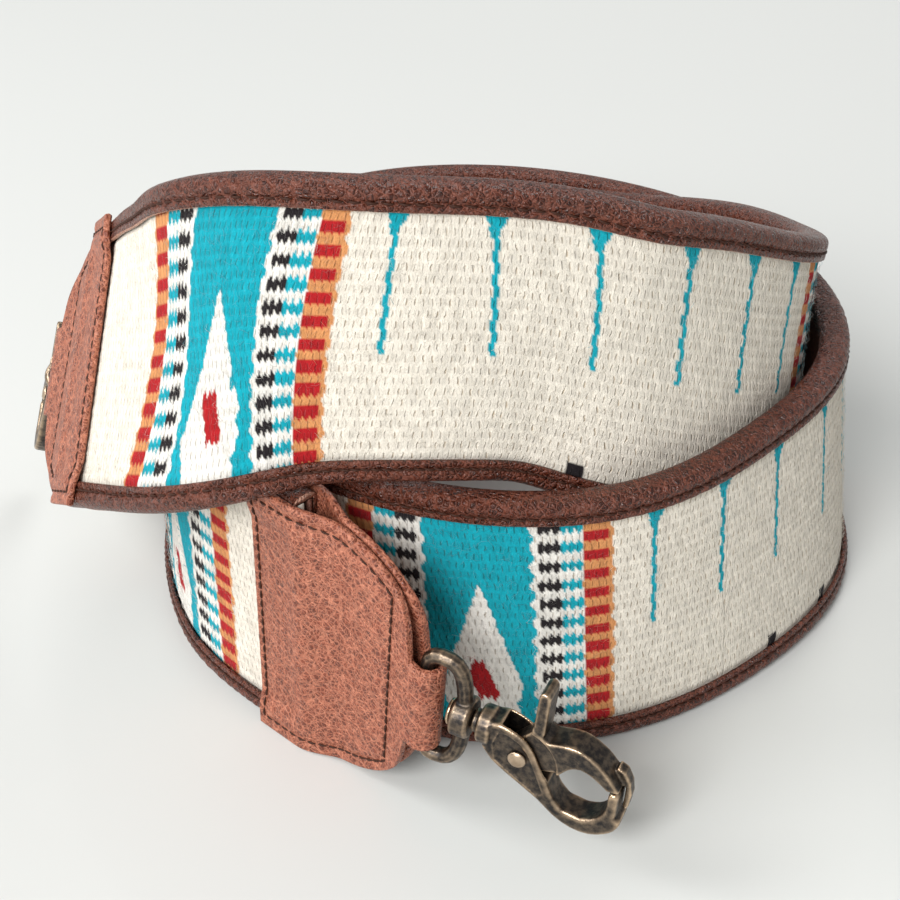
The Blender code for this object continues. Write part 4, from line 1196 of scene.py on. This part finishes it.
def tab_surface(end):
    """Rows follow the strip from leaf to loop to leaf, columns go once round its section. The strip's
    ends thin out with the square root of the way to the end."""
    reach = np.append(END_ROWS, np.linspace(LEAF_START, TAB_LENGTH, LEAF_ROWS))
    spot, ahead, width, out, offset = leaf_frames(end, reach)
    turn = np.linspace(0, pi, LOOP_ROWS + 2)[1:-1, None]
    loop_out = np.cos(turn) * out[-1] + np.sin(turn) * ahead[-1]
    middle = np.vstack((spot + offset[:, None] * out, spot[-1] + LOOP_OFFSET * loop_out,
                        (spot - offset[:, None] * out)[::-1]))
    away = np.vstack((out, loop_out, -out[::-1]))
    across = np.vstack((width, np.repeat(width[-1:], LOOP_ROWS, axis=0), width[::-1]))
    reaches = np.concatenate((reach, np.full(LOOP_ROWS, TAB_LENGTH), reach[::-1]))
    edge = tab_half_width(reaches)[:, None]
    w, n = strip_section(edge)
    thinning = np.sqrt(np.clip(reaches / END_ROWS[-1], 0, 1))[:, None]
    n *= END_THICKNESS + (1 - END_THICKNESS) * thinning
    n[:, :OUTER_COLUMNS] += seam_relief(reaches, w[:, :OUTER_COLUMNS], edge)
    n -= leaf_sag(reaches[:, None], w)
    grid = middle[:, None] + w[..., None] * across[:, None] + n[..., None] * away[:, None]
    item = surface(f"{end}_tab_strip", in_frame(grid), around=True, caps=True)
    return hang(item, "strap", "leather", tab_leather, f"{end}_leather_tab")


def tab_stitches(end):
    """The seam on the outer and the inner leaf, seated on the leather's face."""
    _, marks, direction = seam_route()
    spot, ahead, width, out, offset = leaf_frames(end, marks[:, 0])
    along = unit(direction[:, :1] * ahead + direction[:, 1:] * width)
    seat = (offset + TAB_SKIN - TAB_SEAT - leaf_sag(marks[:, 0], marks[:, 1]))[:, None] * out
    row = spot + marks[:, 1:] * width
    return stitches(f"{end}_tab_stitches", np.vstack((row + seat, row - seat)), np.vstack((along, along)),
                    np.vstack((out, -out)), TAB_STITCH)


for end in ("front", "rear"):
    tab = tab_surface(end)
    seam = tab_stitches(end)
    print(tab.name, "quads", len(tab.data.polygons), "stitches", len(seam.data.polygons) // STITCH_FACES)


# %% [markdown]
# ## Cast metal
#
# Ring, clasp body and gate are castings in antique brass: soft edges, dark hollows, and bright metal
# where hands have rubbed. The CAD solids have the right shape but crisp edges. A copy is merged,
# remeshed finely and relaxed, which rounds every edge at once. How far each point stands out from
# its neighbours is kept as an attribute, and the material lays the wear on it.

# %% Soften a copy
RELAX_ROUNDS = 9


def softened(source, name, voxel):
    """Voxel remesh, then move each point towards the mean of its neighbours."""
    mesh = frame["nodes"][source].data.copy()
    form = bmesh.new()
    form.from_mesh(mesh)
    bmesh.ops.remove_doubles(form, verts=form.verts, dist=0.00001)
    form.to_mesh(mesh)
    form.free()
    item = into_scene(name, mesh)
    remesh = item.modifiers.new("fine", "REMESH")
    remesh.mode = "VOXEL"
    remesh.voxel_size = voxel
    remesh.use_smooth_shade = True
    relax = item.modifiers.new("relax", "SMOOTH")
    relax.factor = 0.5
    relax.iterations = RELAX_ROUNDS
    bpy.context.view_layer.update()
    seen = item.evaluated_get(bpy.context.evaluated_depsgraph_get())
    fine = bpy.data.meshes.new_from_object(seen)
    item.modifiers.clear()
    item.data = fine
    mark_wear(fine)
    return item


# %% Measure the edges
WIDE_ROUNDS, EVEN_ROUNDS = 4, 3
WEAR_UNIT = 0.0001


def read_vectors(vertices, kind):
    """One vector for each point: its place or its normal."""
    values = np.empty(len(vertices) * 3)
    vertices.foreach_get(kind, values)
    return values.reshape(-1, 3)


def mark_wear(mesh):
    """Wear = how far a point stands out from the mean of the points around it, some rounds wide, then
    evened out with its neighbours and counted in tenths of a millimetre."""
    count = len(mesh.vertices)
    points, normals = read_vectors(mesh.vertices, "co"), read_vectors(mesh.vertices, "normal")
    edges = np.empty(len(mesh.edges) * 2, np.int64)
    mesh.edges.foreach_get("vertices", edges)
    a, b = edges.reshape(-1, 2).T
    degree = np.maximum(np.bincount(np.concatenate((a, b)), minlength=count), 1)

    def around(values):
        sums = [np.bincount(a, row[b], count) + np.bincount(b, row[a], count) for row in values.T]
        return np.column_stack(sums) / degree[:, None]

    wide = points
    for _ in range(WIDE_ROUNDS):
        wide = around(wide)
    stand = ((points - wide) * normals).sum(1)[:, None]
    for _ in range(EVEN_ROUNDS):
        stand = (stand + around(stand)) / 2
    layer = mesh.attributes.new("wear", "FLOAT", "POINT")
    layer.data.foreach_set("value", (stand[:, 0] / WEAR_UNIT).astype(np.float32))


# %% [markdown]
# Antique brass is brass that was darkened and then rubbed. Between two dark tones lies the patchy
# tarnish, and the bright tone shows where the wear, with some noise, passes from low to high. The
# rivet and the spring wire use the same function with paler tones.

# %% Antique brass
def make_metal(name, dark, worn, bright, low, high):
    """Tarnish in patches of two tones, and bright metal where the wear lies above low."""
    made, tree, shader = new_material(name)
    place = object_place(tree)
    stand = node(tree, "ShaderNodeAttribute", attribute_name="wear").outputs["Fac"]
    patches = noise(tree, place, 260, 5, 0.65)
    uneven = math_node(tree, "MULTIPLY", math_node(tree, "SUBTRACT", patches, 0.5), 0.8)
    rubbed = ramp(tree, math_node(tree, "ADD", stand, uneven), low, high)
    tarnish = mix(tree, ramp(tree, noise(tree, place, 700, 4, 0.6), 0.35, 0.7), dark, worn)
    tree.links.new(mix(tree, rubbed, tarnish, bright), shader.inputs["Base Color"])
    tree.links.new(sum_of(tree, (rubbed, -0.18), (0.44, 1.0)), shader.inputs["Roughness"])
    shader.inputs["Metallic"].default_value = 1.0
    relief(tree, shader, noise(tree, place, 1800, 4, 0.6), 0.00008)
    return made


antique_brass = make_metal("antique_brass", dark=(0.04, 0.037, 0.037), worn=(0.15, 0.118, 0.09),
                           bright=(0.7, 0.51, 0.34), low=0.0, high=0.7)
rivet_brass = make_metal("rivet_brass", dark=(0.30, 0.21, 0.14), worn=(0.48, 0.35, 0.24),
                         bright=(0.66, 0.52, 0.38), low=-0.4, high=0.6)
spring_steel = make_metal("spring_wire_steel", dark=(0.20, 0.185, 0.165), worn=(0.36, 0.34, 0.31),
                          bright=(0.6, 0.57, 0.52), low=-0.3, high=0.5)

# %% Castings
# The CAD part, the piece's name, the remesh's step in metres, the body, the slot and the finish
CASTINGS = (
    ("ring", "cast_ring", 0.00018, "ring_body", "antique_brass", antique_brass),
    ("clasp_body", "cast_clasp_body", 0.0002, "clasp", "antique_brass", antique_brass),
    ("clasp_gate", "cast_gate", 0.00018, "gate", "antique_brass", antique_brass),
    ("clasp_rivet", "domed_rivet", 0.00012, "clasp", "rivet_brass", rivet_brass),
)
for end in ("front", "rear"):
    for source, name, voxel, body, slot, finish in CASTINGS:
        casting = softened(f"{end}_{source}", f"{end}_{name}", voxel)
        hang(casting, f"{end}_{body}", slot, finish, f"{end}_{source}")
        print(casting.name, "faces", len(casting.data.polygons))


# %% [markdown]
# ## The springs
#
# A small torsion spring is wound round each cross rivet, between the ears of the gate. It is a tube
# along a helix. The gate's hinge gives its axis and its middle.

# %% Spring wire
SPRING_WIRE, SPRING_RADIUS, SPRING_PITCH, SPRING_TURNS = 0.00045, 0.0021, 0.0009, 2
SPRING_LEG = 0.0011
SPRING_START = radians(200)
STEPS_PER_TURN, WIRE_SIDES = 28, 12


def tube(route, radius):
    """A ring of points round each point of the route, across its travel."""
    travel = unit(np.gradient(route, axis=0))
    side = unit(np.cross(travel, (0.0, 1.0, 0.0)))
    angle = np.arange(WIRE_SIDES) * 2 * pi / WIRE_SIDES
    return route[:, None] + radius * ring_round(angle, side, np.cross(side, travel))


def spring(end):
    """Helix: radius x cos, pitch x turns along the rivet, radius x sin; a straight leg at each end."""
    share = np.linspace(0, SPRING_TURNS, SPRING_TURNS * STEPS_PER_TURN + 1)
    angle = SPRING_START + 2 * pi * share
    rise = SPRING_PITCH * (share - SPRING_TURNS / 2)
    turns = np.column_stack((SPRING_RADIUS * np.cos(angle), rise, SPRING_RADIUS * np.sin(angle)))
    leg = np.array((sin(SPRING_START), 0, -cos(SPRING_START)))
    reach = np.linspace(1, 0.15, 5)[:, None] * SPRING_LEG
    route = np.vstack((turns[0] + reach * leg, turns, turns[-1] - reach[::-1] * leg))
    post = np.array(joints[f"{end}_clasp_swivel"]["axis"])
    normal = -np.array(joints[f"{end}_gate_open"]["axis"])
    basis = np.column_stack((post, normal, np.cross(post, normal)))
    grid = tube(route, SPRING_WIRE / 2) @ basis.T + np.array(joints[f"{end}_gate_open"]["pos_m"])
    item = surface(f"{end}_spring_coil", grid, around=True, caps=True)
    mark_wear(item.data)
    return hang(item, f"{end}_clasp", "spring_wire", spring_steel, f"{end}_clasp_spring")


for end in ("front", "rear"):
    print(spring(end).name)


# %% [markdown]
# ## Floor, light and camera
#
# The strap lies on a seamless pale floor. One soft lamp stands at the left, a stronger one in front
# and a weak one behind, and the world fills the shadows. The camera looks down at 33 degrees.

# %% Floor
FLOOR_REACH, FLOOR_POINTS = 2.5, 9


def make_floor():
    """A flat grid of pale paper, far wider than the picture."""
    made, tree, shader = new_material("pale_paper")
    faint = noise(tree, object_place(tree), 3, 3)
    colour = mix(tree, faint, (0.635, 0.645, 0.625), (0.655, 0.665, 0.645))
    tree.links.new(colour, shader.inputs["Base Color"])
    shader.inputs["Roughness"].default_value = 0.7
    shader.inputs["Specular IOR Level"].default_value = 0.2
    span = np.linspace(-FLOOR_REACH, FLOOR_REACH, FLOOR_POINTS)
    grid = np.stack(np.meshgrid(span, span, [0.0], indexing="ij"), -1)[:, :, 0]
    item = surface("paper_floor", grid)
    item.data.flip_normals()
    item.data.materials.append(made)


make_floor()


# %% Lamps and world
LAMP_TARGET = Vector((0, 0, 0.05))
WORLD_STRENGTH = 0.41


def lamp(name, place, size, power):
    """A round soft lamp, turned towards the middle of the strap."""
    data = bpy.data.lights.new(name, "AREA")
    data.shape = "DISK"
    data.size = size
    data.energy = power
    item = into_scene(name, data)
    item.location = place
    item.rotation_euler = (LAMP_TARGET - Vector(place)).to_track_quat("-Z", "Y").to_euler()


lamp("key_lamp", (-1.0, 0.1, 0.75), size=0.6, power=7)
lamp("front_lamp", (-0.5, -1.05, 0.85), size=0.65, power=20)
lamp("back_lamp", (0.4, 1.0, 0.95), size=0.6, power=6)
world = bpy.data.worlds.new("studio")
world.use_nodes = True
background = world.node_tree.nodes["Background"]
background.inputs["Color"].default_value = (1, 1, 1, 1)
background.inputs["Strength"].default_value = WORLD_STRENGTH
bpy.context.scene.world = world
bpy.context.scene.view_settings.view_transform = "Standard"


# %% Camera
EYE_PLACE = np.array((-0.0112, -0.3723, 0.2639))
LOOK_DOWN = radians(33)
eye = bpy.data.cameras.new("camera")
eye.lens = 72
camera = into_scene("camera", eye)
camera.location = EYE_PLACE + SHIFT * (1, 1, 0)
camera.rotation_euler = (pi / 2 - LOOK_DOWN, 0, 0)
bpy.context.scene.camera = camera
